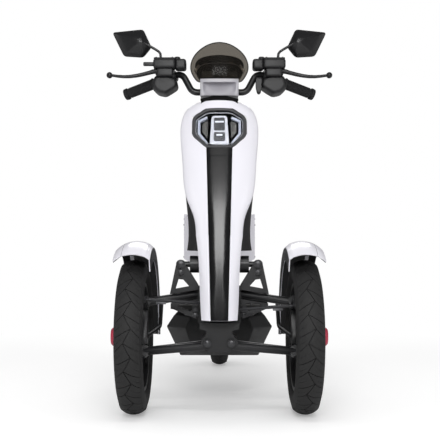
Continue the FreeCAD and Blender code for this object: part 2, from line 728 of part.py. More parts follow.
# Steering column, with the pitman arm at its foot
def make_column():
    foot = f"({PITMAN_Z} - 6)"
    start_y = f"(bar_y - (bar_z - {foot}) * tan(rake))"
    length = f"(bar_z - {foot}) / cos(rake) - clamp_half - seat_gap"
    shaft = rod("shaft", "0", start_y, foot, "axis", "shaft_radius", length)
    arm = new_body("pitman")
    outline = new_sketch(arm, "PitmanOutline", "XY_Plane", "-steer_arm_wall / 2")
    draw(outline, [("-17", "0"), ("-11", "-steer_arm", ("0", "-steer_arm - 11")), ("11", "-steer_arm"),
                   ("17", "0", ("0", "19"))])
    pad(arm, outline, "steer_arm_wall")
    pin = new_sketch(arm, "PitmanPin", "XY_Plane", "-steer_arm_wall / 2 - rod_eye_wall - 3")
    ring(pin, "0", "-steer_arm", "rod_pin_radius")
    pad(arm, pin, "steer_arm_wall + 2 * rod_eye_wall + 6")
    place(arm, "0", COLUMN_FOOT_Y, PITMAN_Z, Vector(1, 0, 0), "-rake")
    collars = []
    for mark, level in (("upper", "head_top - 24"), ("lower", "head_foot + 8")):
        y = f"bar_y - (bar_z - ({level})) * tan(rake)"
        collars.append(rod("bearing_" + mark, "0", y, level, "axis", "head_radius - head_wall - shaft_play", "12"))
    reach = "(clamp_half + seat_gap + 20)"
    clamp = rod("clamp_base", "0", f"bar_y - {reach} * sin(rake)", f"bar_z - {reach} * cos(rake)", "axis", "17", "20")
    node("steering_column", join("column_all", shaft, arm, clamp, *collars))


def bar_point(share):
    """A point along the handlebar's straight end, from its second bend to its tip."""
    return (f"bar_rise_x + (bar_end_x - bar_rise_x) * {share}", f"bar_y + 8 + (bar_end_back - 8) * {share}",
            f"bar_z + bar_rise - bar_end_drop * {share}")


def bar_route(side):
    first = [("0", "bar_y", "bar_z"), (f"{side} * bar_root", "bar_y", "bar_z")]
    second = (f"{side} * bar_rise_x", "bar_y + 8", "bar_z + bar_rise")
    tip = (f"{side} * bar_end_x", "bar_y + bar_end_back", "bar_z + bar_rise - bar_end_drop")
    return first + [second, tip]


def along_bar(name, start, stop, radius):
    """A sleeve on the right-hand end of the handlebar."""
    return tube(name, [bar_point(start), bar_point(stop)], radius)


def make_handlebar():
    bar = tube("bar_right", bar_route("1"), "bar_radius", "bar_bend")
    whole = join("bar_whole", bar, mirrored("bar_left", bar))
    clamp = plate("bar_clamp", "XY_Plane", [("-stem_half", "-17"), ("stem_half", "-17"), ("stem_half", "17"),
                                            ("-stem_half", "17")], "-clamp_half", "2 * clamp_half")
    place(clamp, "0", "bar_y", "bar_z", Vector(1, 0, 0), "-rake")
    node("handlebar", join("handlebar_all", whole, clamp))
    core = along_bar("grip_core", 0.3, 0.999, "bar_radius + shaft_play")
    sleeve = along_bar("grip_sleeve", 0.48, 0.97, "grip_radius")
    flange = along_bar("grip_end", 0.94, 0.97, "grip_flange")
    collar = along_bar("grip_collar", 0.48, 0.5, "grip_flange")
    node("grips", pair("grip_pair", cut("grip", join("grip_all", sleeve, flange, collar), core)))


def make_controls():
    """Switch housing around the bar, and the brake's master cylinder with its reservoir in front of it."""
    core = along_bar("switch_core", -0.02, 0.6, "bar_radius + shaft_play")
    sleeve = along_bar("switch_sleeve", 0.1, 0.47, "17")
    hung = [spot[:2] + (f"{spot[2]} - switch_drop",) for spot in (bar_point(0.11), bar_point(0.41))]
    housing = tube("switch_housing", hung, "switch_radius")
    cylinder = rod("master_cylinder", "112", "bar_y - 34", "bar_z + 56", "X", "11", "112")
    bowl = block("reservoir", ("110", "bar_y - 58", "bar_z + bowl_foot"), ("216", "bar_y - 12", "bar_z + bowl_top"))
    neck = block("reservoir_neck", ("140", "bar_y - 44", "bar_z + 50"), ("196", "bar_y - 14", "bar_z + bowl_foot + 6"))
    cap = rod("reservoir_cap", "163", "bar_y - 35", "bar_z + bowl_top - 2", "Z", "15", "7")
    arm = block("perch_arm", ("152", "bar_y - 40", "bar_z + 34"), ("178", "bar_y + 20", "bar_z + 62"))
    right = cut("control", join("control_all", sleeve, housing, cylinder, bowl, neck, cap, arm), core)
    guide = new_body("cable_guide")
    outline = new_sketch(guide, "GuideOutline", "XZ_Plane", "-bar_y + 22")
    draw(outline, [("121", "bar_z + 40"), ("128", "bar_z - 22"), ("139", "bar_z - 22"), ("141", "bar_z + 34"),
                   ("156", "bar_z + 36"), ("156", "bar_z + 48"), ("124", "bar_z + 48")])
    pad(guide, outline, "12")
    both = group("control_pair", join("control_guided", right, guide), mirrored("control_left", right))
    node("hand_controls", both)
    blade = tube("lever_blade", [("222", "bar_y - 44", "bar_z + 52"), ("300", "bar_y - 52", "bar_z + 50"),
                                 ("368", "bar_y - 26", "bar_z + 44")], "6.5", "60")
    ball = doc.addObject("Part::Sphere", "lever_ball")
    bind(ball, Radius="lever_ball")
    place(ball, "368", "bar_y - 26", "bar_z + 44")
    root = block("lever_root", ("200", "bar_y - 56", "bar_z + 46"), ("232", "bar_y - 34", "bar_z + 58"))
    pivot = cut("lever_free", join("lever_all", blade, ball, root), right)
    node("brake_levers", pair("lever_pair", pivot))


def make_mirrors():
    """Five-cornered housings on bent stems, glass on the rider's side."""
    body = new_body("mirror_housing")
    outline = [("261", "bar_z + 212"), ("360", "bar_z + 203"), ("328", "bar_z + 125"), ("262", "bar_z + 121"),
               ("234", "bar_z + 156")]
    back = new_sketch(body, "MirrorRim", "XZ_Plane", "-bar_y + 6")
    draw(back, outline)
    front = new_sketch(body, "MirrorNose", "XZ_Plane", "-bar_y + 44")
    draw(front, [("264", "bar_z + 172"), ("272", "bar_z + 171"), ("270", "bar_z + 164"), ("264", "bar_z + 163"),
                 ("260", "bar_z + 167")])
    form = body.newObject("PartDesign::AdditiveLoft", "MirrorForm")
    form.Profile = back
    form.Sections = [front]
    form.Ruled = True
    stem = tube("mirror_stem", [("256", "bar_y - 18", "bar_z + 160"), ("202", "bar_y - 30", "bar_z + 134"),
                                ("200", "bar_y - 34", "bar_z + bowl_top + 6")], "4.5", "8")
    foot = rod("mirror_foot", "200", "bar_y - 34", "bar_z + bowl_top + seat_gap", "Z", "6.5", "10")
    node("mirrors", pair("mirror_pair", join("mirror_all", body, stem, foot)))
    glass = new_body("glass")
    pane = new_sketch(glass, "GlassOutline", "XZ_Plane", "-bar_y - seat_gap + 3")
    draw(pane, [("266", "bar_z + 206"), ("350", "bar_z + 197"), ("323", "bar_z + 131"), ("265", "bar_z + 127"),
                ("241", "bar_z + 156")])
    pad(glass, pane, "3")
    node("mirror_glass", pair("glass_pair", glass))


def loft(name, sections, ruled=False):
    form = doc.addObject("Part::Loft", name)
    form.Sections = sections
    form.Solid = True
    form.Ruled = ruled
    return form


def level_sketch(name, corners, z, y="0", tilted=False):
    """A sketch lying level at a height, or square to the steering axis."""
    sketch = doc.addObject("Sketcher::SketchObject", name)
    draw(sketch, corners)
    if tilted:
        return place(sketch, "0", y, z, Vector(1, 0, 0), "-rake")
    return place(sketch, "0", y, z)


def head_section(name, level, half, front, rear):
    """A rounded section of the cover around the handlebar's clamp."""
    reach = f"(970 - bar_z) / cos(rake) + {level}"
    return level_sketch(name, [
        (f"-{half}", f"{rear}"), (f"-{half}", f"-{front} + 22", ("0", f"-{front}")), (half, f"-{front} + 22"),
        (half, f"{rear}"),
    ], axis_z("bar_z", reach), axis_y("bar_y", reach), True)


def make_head():
    cover = loft("cover_form", [head_section("cover_a", 8, "64", "92", "48"), head_section("cover_b", 30, "68", "96", "52"),
                                head_section("cover_c", 92, "58", "80", "42")])
    inner = loft("cover_hollow", [head_section("hollow_a", 7, "60", "88", "44"), head_section("hollow_b", 30, "64", "92", "48"),
                                  head_section("hollow_c", 88, "54", "76", "38")])
    slot = rod("bar_slot", "-120", "bar_y", "bar_z", "X", "bar_radius + seat_gap", "240")
    node("head_cover", cut("head_cover_cut", cut("cover_shell", cover, inner), slot))
    collar_low = head_section("collar_a", -22, "60", "82", "42")
    collar_high = head_section("collar_b", 2, "60", "84", "44")
    tube_bore = rod("collar_bore", "0", axis_y("bar_y", "(900 - bar_z) / cos(rake)"), "900", "axis",
                    "head_radius + seat_gap", "200")
    node("neck_collar", cut("neck_collar_cut", loft("collar_form", [collar_low, collar_high]), tube_bore))
    meter = new_body("meter")
    face = new_sketch(meter, "MeterOutline", "XZ_Plane", "-bar_y - 10")
    draw(face, [("-62", "bar_z + 42"), ("62", "bar_z + 42"), ("70", "bar_z + 96", ("0", "bar_z + 122")),
                ("-70", "bar_z + 96")])
    pad(meter, face, "38")
    cover_top = "((970 - bar_z) / cos(rake) + 92)"
    post = plate("meter_post", "XY_Plane", [("-20", "-30"), ("20", "-30"), ("20", "2"), ("-20", "2")],
                 f"{cover_top} + seat_gap", "40")
    place(post, "0", "bar_y", "bar_z", Vector(1, 0, 0), "-rake")
    node("instrument", join("instrument_all", meter, post))
    visor_nodes()


def visor_nodes():
    """A curved smoked screen in front of the instrument, leaning back."""
    sections = []
    for mark, rise, half, front in (("a", 14, 62, 104), ("b", 38, 88, 99), ("c", 62, 96, 91), ("d", 88, 91, 82),
                                    ("e", 114, 74, 72), ("f", 136, 44, 62), ("g", 147, 18, 56)):
        edge = f"visor_wrap * {half} - {front}"
        sections.append(level_sketch("visor_" + mark, [
            (f"-{half}", edge, ("0", f"-{front}")), (f"{half}", edge),
            (f"{half} - shell_wall", edge, ("0", f"-{front} + shell_wall")), (f"shell_wall - {half}", edge),
        ], f"bar_z + {rise}", "bar_y"))
    screen = loft("visor_form", sections)
    bracket = block("visor_bracket", ("-10", "bar_y - 92 + shell_wall", "bar_z + 56"),
                    ("10", "bar_y - 28 - seat_gap", "bar_z + 66"))
    node("visor", join("visor_all", screen, bracket))


SHIELD = (("foot", 285, 52), ("shin", 371, 58), ("knee", 460, 63), ("waist", 534, 71), ("flare", 592, 79),
          ("hip", 648, 101), ("chest", 766, 118), ("lamp", 850, 126), ("brow", 898, 127), ("shoulder", 951, 113),
          ("crown", 989, 64))


def shield_front(z):
    return f"(shield_foot_y + (({z}) - shield_foot_z) * tan(shield_lean))"


for part_name, height, half_width in SHIELD:
    size(f"shield_{part_name}_z", height, "shield, height of its " + part_name)
    size(f"shield_{part_name}_half", half_width, "shield, half width at its " + part_name)
sheet.recompute()
words = re.compile(r"\b(" + "|".join(cells) + r")\b")


def shield_block(name, grow, depth):
    """The shield's outer form, grown outwards, closed by a flat back."""
    sections = []
    for part_name, height, half_width in SHIELD:
        z = f"shield_{part_name}_z"
        half = f"(shield_{part_name}_half + ({grow}))"
        edge = f"({shield_front(z)} + shield_{part_name}_half * shield_wrap)"
        front = f"{shield_front(z)} - ({grow})"
        sections.append(level_sketch(f"{name}_{part_name}", [
            (f"-{half}", f"{edge} + {depth}"), (f"-{half}", edge, ("0", front)), (half, edge),
            (half, f"{edge} + {depth}"),
        ], z))
    return loft(name, sections)


def lamp_outline(name, shrink, front, rear):
    """The headlamp's outline, extruded along the vehicle."""
    body = new_body(name)
    sketch = new_sketch(body, name + "Outline", "XZ_Plane", f"-({rear})")
    corners = []
    shrink = f"({shrink})"
    for side in ("-1", "1"):
        half = [(f"{side} * (lamp_top_half - {shrink} / 2)", f"lamp_top - {shrink}"),
                (f"{side} * (lamp_half - {shrink})", f"lamp_brow - {shrink} / 2"),
                (f"{side} * (lamp_half - {shrink})", f"lamp_cheek + {shrink} / 2"),
                (f"{side} * (lamp_foot_half - {shrink} / 2)", f"lamp_foot + {shrink}")]
        corners += half if side == "1" else half[::-1]
    draw(sketch, corners)
    pad(body, sketch, f"({rear}) - ({front})")
    return body


def stripe_outline(name, clear):
    body = new_body(name)
    sketch = new_sketch(body, name + "Outline", "XZ_Plane", "-shield_foot_y - 600")
    draw(sketch, [(f"-stripe_foot_half - {clear}", "shield_foot_z - 10"), (f"stripe_foot_half + {clear}", "shield_foot_z - 10"),
                  (f"stripe_top_half + {clear}", f"stripe_top_z"), (f"-stripe_top_half - {clear}", f"stripe_top_z")])
    pad(body, sketch, "700")
    return body


def make_shield():
    outer = shield_block("shield_outer", "0", "6")
    inner = shield_block("shield_inner", "-shell_wall", "26")
    proud = shield_block("shield_proud", "stripe_proud", "6")
    shell = cut("shield_shell", outer, inner)
    proud_shell = cut("proud_shell", proud, inner)
    lamp_hole = lamp_outline("lamp_hole", "-panel_gap", "shield_foot_y", "lamp_back + 60")
    stripe_hole = stripe_outline("stripe_hole", "panel_gap")
    openings = join("shield_openings", lamp_hole, stripe_hole)
    node("front_shield", cut("front_shield_cut", shell, openings))
    stripe = overlap("stripe_strip", proud_shell, stripe_outline("stripe_form", "0"))
    under_lamp = lamp_outline("lamp_clear", "-panel_gap - seat_gap", "shield_foot_y", "lamp_back + 60")
    node("center_stripe", cut("stripe_cut", stripe, under_lamp))
    frame_outer = lamp_outline("lamp_frame_outer", "0", "shield_foot_y", "lamp_back")
    frame_inner = lamp_outline("lamp_frame_inner", "lamp_frame", "shield_foot_y - 1", "lamp_back - 4")
    frame = overlap("lamp_frame_form", frame_outer, shield_block("lamp_reach", "stripe_proud", "90"))
    node("headlamp_housing", cut("headlamp_housing_cut", frame, frame_inner))
    lens_form = lamp_outline("lens_form", "lamp_frame + 1", "shield_foot_y", "lamp_back - 20")
    node("headlamp_lens", overlap("lens_cut", shell, lens_form))
    tower = new_body("lamp_tower")
    outline = new_sketch(tower, "TowerOutline", "XZ_Plane", "-lamp_back + 4 + seat_gap")
    draw(outline, [("-30", "lamp_foot + 16"), ("30", "lamp_foot + 16"), ("24", "lamp_top - 18"), ("-24", "lamp_top - 18")])
    pad(tower, outline, "90")
    node("headlamp_reflector", overlap("tower_cut", tower, shield_block("lamp_room", "-shell_wall - 6", "60")))


def make_leg_shield():
    """The rider's side of the apron, from the collar down to the knee."""
    stations = (("a", 490, 60, 52), ("b", 600, 78, 56), ("c", 700, 106, 60), ("d", 800, 118, 62), ("e", 890, 122, 60),
                ("f", 926, 112, 54))
    forms = []
    for name, grow in (("leg_outer", "0"), ("leg_inner", "-shell_wall")):
        sections = []
        for mark, height, half, rear in stations:
            edge = f"({shield_front(str(height))} + {half} * shield_wrap + 6)"
            back = f"(bar_y - (bar_z - {height}) * tan(rake) + {rear} + ({grow}))"
            start = edge if grow == "0" else f"{edge} - 10"
            sections.append(level_sketch(f"{name}_{mark}", [
                (f"{half} + ({grow})", start), (f"{half} + ({grow})", f"{edge} + 1", ("0", back)),
                (f"-{half} - ({grow})", f"{edge} + 1"), (f"-{half} - ({grow})", start),
            ], str(height)))
        forms.append(loft(name, sections))
    node("leg_shield", cut("leg_shield_cut", *forms))


def arm_eye(name, reach, x="kingpin_x"):
    """The round end of a suspension arm, lying fore and aft on the steering axis."""
    y = f"{axis_y(FRONT_AXLE_Y, reach)} - eye_length / 2 * cos(rake)"
    z = f"{axis_z(AXLE_Z, reach)} + eye_length / 2 * sin(rake)"
    return rod(name, x, y, z, "across", "eye_radius", "eye_length")


def stud_hole(name, reach, start):
    point = (axis_y(FRONT_AXLE_Y, start), axis_z(AXLE_Z, start))
    return rod(name, "kingpin_x", *point, "axis", "pin_radius + shaft_play", "pin_entry + 4")


def rocker_piece(name, middle, outline, window):
    """One flat piece of a rocker with its window, across the vehicle."""
    body = new_body(name)
    sketch = new_sketch(body, name + "Outline", "XZ_Plane", f"-({middle}) - rocker_wall / 2")
    draw(sketch, outline)
    for corners in window:
        draw(sketch, corners)
    pad(body, sketch, "rocker_wall")
    return body


def rocker_plates():
    """Both plates of a rocker. The front one leaves a band open, where the arm's front leg passes."""
    rear = f"rocker_y + (rocker_gap + rocker_wall) / 2"
    front = f"rocker_y - (rocker_gap + rocker_wall) / 2"
    apex = ("rocker_apex_x - rocker_boss", "rocker_apex_z", ("rocker_apex_x", "rocker_apex_z + rocker_boss"))
    outer = ("rocker_apex_x + rocker_boss", "rocker_apex_z")
    upper_window = [("126", "402"), ("135", "372"), ("92", "380"), ("110", "400")]
    lower_window = [("126", "326"), ("124", "316"), ("90", "302"), ("82", "308"), ("82", "330")]
    whole = [outer, ("152", "352"), ("146", "312"), ("84", "286"), ("69", "280"), ("69", "318"), ("62", "376"), ("66", "386"),
             apex]
    upper = [outer, ("151", "356"), ("62", "370"), ("62", "376"), ("66", "386"), apex]
    lower = [("149", "328"), ("146", "312"), ("84", "286"), ("69", "280"), ("69", "318"), ("66", "340")]
    return [rocker_piece("rocker_rear", rear, whole, [upper_window, lower_window]),
            rocker_piece("rocker_top", front, upper, [upper_window]),
            rocker_piece("rocker_gusset", front, lower, [lower_window])]


def upper_arm():
    eye = ("kingpin_x", axis_y(FRONT_AXLE_Y, "upper_reach"), axis_z(AXLE_Z, "upper_reach"))
    parts = [arm_eye("upper_eye", "upper_reach")]
    parts.append(rod("upper_sleeve_bar", "upper_pivot_x", "upper_pivot_front", "upper_pivot_z", "Y", "upper_sleeve",
                     "upper_pivot_rear - upper_pivot_front"))
    for mark, y in (("front", "upper_pivot_front + 17"), ("rear", "upper_pivot_rear - 13")):
        parts.append(tube("upper_leg_" + mark, [("upper_pivot_x", y, "upper_pivot_z"), eye], "arm_tube"))
    parts += rocker_plates()
    reach = "rocker_gap + 2 * rocker_wall + 8"
    for mark, x, z in (("apex", "rocker_apex_x", "rocker_apex_z"), ("mid", "rocker_apex_x", "rocker_apex_z - 25"),
                       ("low", "74", "308"), ("foot", "74", "292")):
        parts.append(rod("rocker_bolt_" + mark, x, f"rocker_y - ({reach}) / 2", z, "Y", "pivot_bolt", reach))
    solid = join("upper_arm_solid", *parts)
    bore = rod("upper_bore", "upper_pivot_x", "upper_pivot_front - 1", "upper_pivot_z", "Y", "pivot_bolt + shaft_play",
               "upper_pivot_rear - upper_pivot_front + 2")
    hole = stud_hole("upper_stud_hole", "upper_reach", "upper_reach - eye_radius - 2")
    return cut("upper_arm_cut", solid, join("upper_arm_holes", bore, hole))


def lower_arm():
    eye = ("kingpin_x", axis_y(FRONT_AXLE_Y, "-lower_reach"), axis_z(AXLE_Z, "-lower_reach"))
    parts = [arm_eye("lower_eye", "-lower_reach")]
    parts.append(rod("lower_sleeve_bar", "lower_pivot_x", "lower_pivot_front", "lower_pivot_z", "Y", "lower_sleeve",
                     "lower_pivot_rear - lower_pivot_front"))
    for mark, y in (("front", "lower_pivot_front + 14"), ("rear", "lower_pivot_rear - 14")):
        parts.append(tube("lower_leg_" + mark, [("lower_pivot_x", y, "lower_pivot_z - 10"), eye], "arm_tube"))
    parts.append(rod("lower_tie", "130", "lower_pivot_front + 24", "201", "Y", "8", "52"))
    solid = join("lower_arm_solid", *parts)
    bore = rod("lower_bore", "lower_pivot_x", "lower_pivot_front - 1", "lower_pivot_z", "Y", "pivot_bolt + shaft_play",
               "lower_pivot_rear - lower_pivot_front + 2")
    hole = stud_hole("lower_stud_hole", "-lower_reach", "-lower_reach + eye_radius - pin_entry - 2")
    return cut("lower_arm_cut", solid, join("lower_arm_holes", bore, hole))


def spring_form(name, core, coil, length, turns):
    """A coil spring around its damper, turned from a wavy outline that stands on the origin."""
    body = new_body(name)
    sketch = new_sketch(body, name + "Profile", "XZ_Plane")
    corners = [("0", "0"), (core, "0")]
    for turn in range(turns):
        middle = f"({length}) * {turn + 0.5} / {turns}"
        reach = f"({length}) * 0.32 / {turns}"
        corners.append((core, f"{middle} - {reach}", (coil, middle)))
        corners.append((core, f"{middle} + {reach}"))
    corners += [(core, length), ("0", length)]
    turned(body, draw(sketch, corners), "V_Axis")
    return body


def make_damper():
    """Damper across the vehicle, between the two rockers: eye, rod, can, and a coil over the middle."""
    z = "rocker_apex_z"
    parts = [rod("damper_body", "-damper_can_x", "rocker_y", z, "X", "damper_rod + 7", "2 * damper_can_x")]
    for mark, start in (("right", "damper_can_x - damper_can"), ("left", "-damper_can_x")):
        parts.append(rod("damper_can_" + mark, start, "rocker_y", z, "X", "damper_radius", "damper_can"))
    parts.append(rod("damper_rod_bar", "-rocker_apex_x", "rocker_y", z, "X", "damper_rod", "2 * rocker_apex_x"))
    holes = []
    for mark, sign in (("right", "1"), ("left", "-1")):
        x = f"({sign}) * rocker_apex_x"
        parts.append(rod("damper_eye_" + mark, x, "rocker_y - rocker_gap / 2 + 1", z, "Y", "13", "rocker_gap - 2"))
        holes.append(rod("damper_hole_" + mark, x, "rocker_y - rocker_gap / 2", z, "Y", "pivot_bolt + shaft_play", "rocker_gap"))
    spring = spring_form("damper_spring", "damper_rod + 7", "spring_radius", "2 * (damper_can_x - damper_can)", 7)
    parts.append(place(spring, "damper_can - damper_can_x", "rocker_y", z, Vector(0, 1, 0), "90"))
    node("tilt_damper", cut("damper_cut", join("damper_all", *parts), join("damper_holes", *holes)))


def portal_plate(name, y):
    """Upright plate of the front subframe, with a window for the steering and holes for the arm bolts."""
    body = new_body(name)
    sketch = new_sketch(body, name + "Outline", "XZ_Plane", f"-({y}) - plate_wall")
    draw(sketch, [("-40", "beam_foot + 2"), ("40", "beam_foot + 2"), ("66", "270"), ("66", "380"), ("-66", "380"), ("-66", "270")])
    draw(sketch, [("-34", "274"), ("34", "274"), ("34", "340"), ("30", "366"), ("-30", "366"), ("-34", "340")])
    pad(body, sketch, "plate_wall")
    return body


def nose_plate(name, y):
    """Plate at either end of the lower arm bolts."""
    body = new_body(name)
    sketch = new_sketch(body, name + "Outline", "XZ_Plane", f"-({y}) - plate_wall")
    right = [("30", "191"), ("46", "202"), ("46", "230"), ("38", "244"), ("38", "252"), ("58", "257"), ("58", "beam_top + 6")]
    draw(sketch, right + [(f"-{x}", z) for x, z in reversed(right)])
    pad(body, sketch, "plate_wall")
    return body


def frame_side(sign):
    """Floor rail, rise and upper rail on one side, as one bent tube."""
    return tube("rail_" + ("right" if sign == "1" else "left"), [
        ("0", "-436", "rail_z"), (f"{sign} * rail_x", "rail_front", "rail_z"), (f"{sign} * rail_x", "rail_rear", "rail_z"),
        (f"{sign} * rise_x", "rise_foot_y", "rail_z"), (f"{sign} * rise_x", "rise_head_y", "rise_head_z"),
        (f"{sign} * upper_rail_x", "rise_y", "upper_rail_z"), (f"{sign} * upper_rail_x", "upper_rail_rear", "upper_rail_z"),
    ], "rail_radius", "45")


def shock_clevis(name, side, bolt_y, bolt_z, run, height):
    """Two ears and the bolt that hold one end of a rear shock."""
    parts = [rod(name + "_bolt", f"{side} * shock_x - 14", bolt_y, bolt_z, "X", "6", "28")]
    for ear, offset in (("in", "-14 - seat_gap"), ("out", "9 + seat_gap")):
        start = f"{side} * shock_x + {offset}"
        parts.append(block(f"{name}_ear_{ear}", (start, run[0], height[0]), (f"{start} + 5", run[1], height[1])))
    return parts


def make_frame():
    head_y = "bar_y - (bar_z - head_foot) * tan(rake)"
    head = rod("head_outer", "0", head_y, "head_foot", "axis", "head_radius", "(head_top - head_foot) / cos(rake)")
    beam = block("front_beam", ("-beam_half", "beam_front", "beam_foot"), ("beam_half", "beam_rear", "beam_top"))
    down = tube("down_tube_bar", [("0", "bar_y - (bar_z - 440) * tan(rake)", "440"), ("0", "-436", "330"), ("0", "-436", "262")],
                "down_tube", "40")
    parts = [head, beam, down, frame_side("1"), frame_side("-1")]
    portals = [portal_plate("portal_front", "upper_pivot_front - plate_wall - seat_gap"),
               portal_plate("portal_rear", "upper_pivot_rear + seat_gap")]
    noses = [nose_plate("nose_front", "lower_pivot_front - plate_wall - seat_gap"),
             nose_plate("nose_rear", "lower_pivot_rear + seat_gap")]
    for mark, sign in (("right", "1"), ("left", "-1")):
        parts.append(rod("upper_bolt_" + mark, f"{sign} * upper_pivot_x", "upper_pivot_front - plate_wall - 6", "upper_pivot_z",
                         "Y", "pivot_bolt", "upper_pivot_rear - upper_pivot_front + 2 * plate_wall + 12"))
        parts.append(rod("lower_bolt_" + mark, f"{sign} * lower_pivot_x", "lower_pivot_front - plate_wall - 6", "lower_pivot_z",
                         "Y", "pivot_bolt", "lower_pivot_rear - lower_pivot_front + 2 * plate_wall + 12"))
    shock_y = "(rise_foot_y + (shock_head_z - rail_z) / (rise_head_z - rail_z) * (rise_head_y - rise_foot_y))"
    for mark, half, y, z in (("floor", "rail_x", "-120", "rail_z"), ("floor_rear", "rail_x", "rail_rear - 30", "rail_z"),
                             ("shock", "rise_x", shock_y, "shock_head_z"), ("seat", "upper_rail_x", "bucket_front - 14", "upper_rail_z"),
                             ("fender", "upper_rail_x", REAR_AXLE_Y, "upper_rail_z"),
                             ("tail", "upper_rail_x", "upper_rail_rear - 16", "upper_rail_z")):
        parts.append(rod("cross_" + mark, f"-{half}", y, z, "X", "rail_radius - 4", f"2 * {half}"))
    for mark, sign in (("right", "1"), ("left", "-1")):
        lug = block("swing_lug_" + mark, (f"{sign} * (swing_half - 12) - 8", "rise_foot_y - 20", "swing_pivot_z - 26"),
                    (f"{sign} * (swing_half - 12) + 8", "swing_pivot_y + 20", "swing_pivot_z + 26"))
        parts.append(lug)
        parts += shock_clevis("shock_head_" + mark, sign, "shock_head_y", "shock_head_z", (shock_y, "shock_head_y + 14"),
                              ("shock_head_z - 9", "shock_head_z + 14"))
    crown = f"({AXLE_Z} + fender_radius + 6 + seat_gap)"
    parts.append(rod("fender_post", "0", REAR_AXLE_Y, crown, "Z", "9", f"upper_rail_z - {crown}"))
    reach = "(swing_half + swing_wall + 8)"
    parts.append(rod("swing_bolt", f"-{reach}", "swing_pivot_y", "swing_pivot_z", "X", "8", f"2 * {reach}"))
    parts.append(block("lamp_seat", ("-30", "upper_rail_rear - 18", "upper_rail_z - 7"), ("30", "upper_rail_rear", "upper_rail_z + 5")))
    stays = []
    for mark, z in (("low", "506"), ("high", "746")):
        column_y = f"(bar_y - (bar_z - {z}) * tan(rake) - head_radius + 2)"
        stays.append(block("shield_stay_" + mark, ("-30", f"{column_y} - 170", f"{z} - 6"), ("30", column_y, f"{z} + 6")))
    room = shield_block("shield_room", "-shell_wall - seat_gap", "140")
    parts.append(overlap("shield_stays", group("stay_pair", *stays), room))
    lamp_z = "(lamp_brow + lamp_cheek) / 2"
    parts.append(block("lamp_stay", ("-20", "lamp_back + seat_gap", f"{lamp_z} - 7"),
                       ("20", f"bar_y - (bar_z - {lamp_z}) * tan(rake) - head_radius + 4", f"{lamp_z} + 7")))
    solid = join("frame_solid", *parts, *portals, *noses)
    bore_y = "bar_y - (bar_z - (head_foot - 20)) * tan(rake)"
    bore = rod("head_bore", "0", bore_y, "head_foot - 20", "axis", "head_radius - head_wall",
               "(head_top - head_foot + 40) / cos(rake)")
    node("main_frame", cut("frame_cut", solid, bore))


def make_floor():
    deck = new_body("floorboard")
    sketch = new_sketch(deck, "DeckOutline", "XY_Plane", DECK_Z)
    draw(sketch, [
        ("-40", "deck_front - 34"), ("40", "deck_front - 34"), ("deck_half - 20", "deck_front"), ("deck_half", "deck_front + 34"),
        ("deck_half", "deck_rear"), ("-deck_half", "deck_rear"), ("-deck_half", "deck_front + 34"), ("20 - deck_half", "deck_front"),
    ])
    pad(deck, sketch, "deck_wall")
    rib = new_sketch(deck, "DeckRib", "XY_Plane", f"{DECK_Z} + deck_wall")
    draw(rib, [("-deck_half + 22", "-300"), ("deck_half - 22", "-300"), ("deck_half - 22", "-294"), ("-deck_half + 22", "-294")])
    one = pad(deck, rib, "3")
    row = deck.newObject("PartDesign::LinearPattern", "DeckRibs")
    row.Originals = [one]
    line = [item for item in deck.Origin.OriginFeatures if item.Role == "Y_Axis"][0]
    row.Direction = (line, [""])
    row.Length = 360
    row.Occurrences = 13
    deck.Tip = row
    node("floorboard", deck)
    case = loft("case_form", [case_section("a", "case_front", "0.62", "24"), case_section("b", "case_front + 90", "1", "0"),
                              case_section("c", "case_rear - 60", "1", "0"), case_section("d", "case_rear", "0.86", "12")], True)
    node("battery_case", case)


def case_section(mark, y, share, lift):
    """Section of the battery case: a flat top, an edge at the widest, and a narrower flat bottom."""
    sketch = doc.addObject("Sketcher::SketchObject", "case_" + mark)
    draw(sketch, [
        (f"-136 * {share}", f"case_foot + {lift}"), (f"136 * {share}", f"case_foot + {lift}"),
        (f"168 * {share}", f"case_foot + 68"), (f"case_half * {share}", "case_edge_z"), (f"157 * {share}", CASE_TOP),
        (f"-157 * {share}", CASE_TOP), (f"-case_half * {share}", "case_edge_z"), (f"-168 * {share}", f"case_foot + 68"),
    ])
    return place(sketch, "0", y, "0", Vector(1, 0, 0), "90")


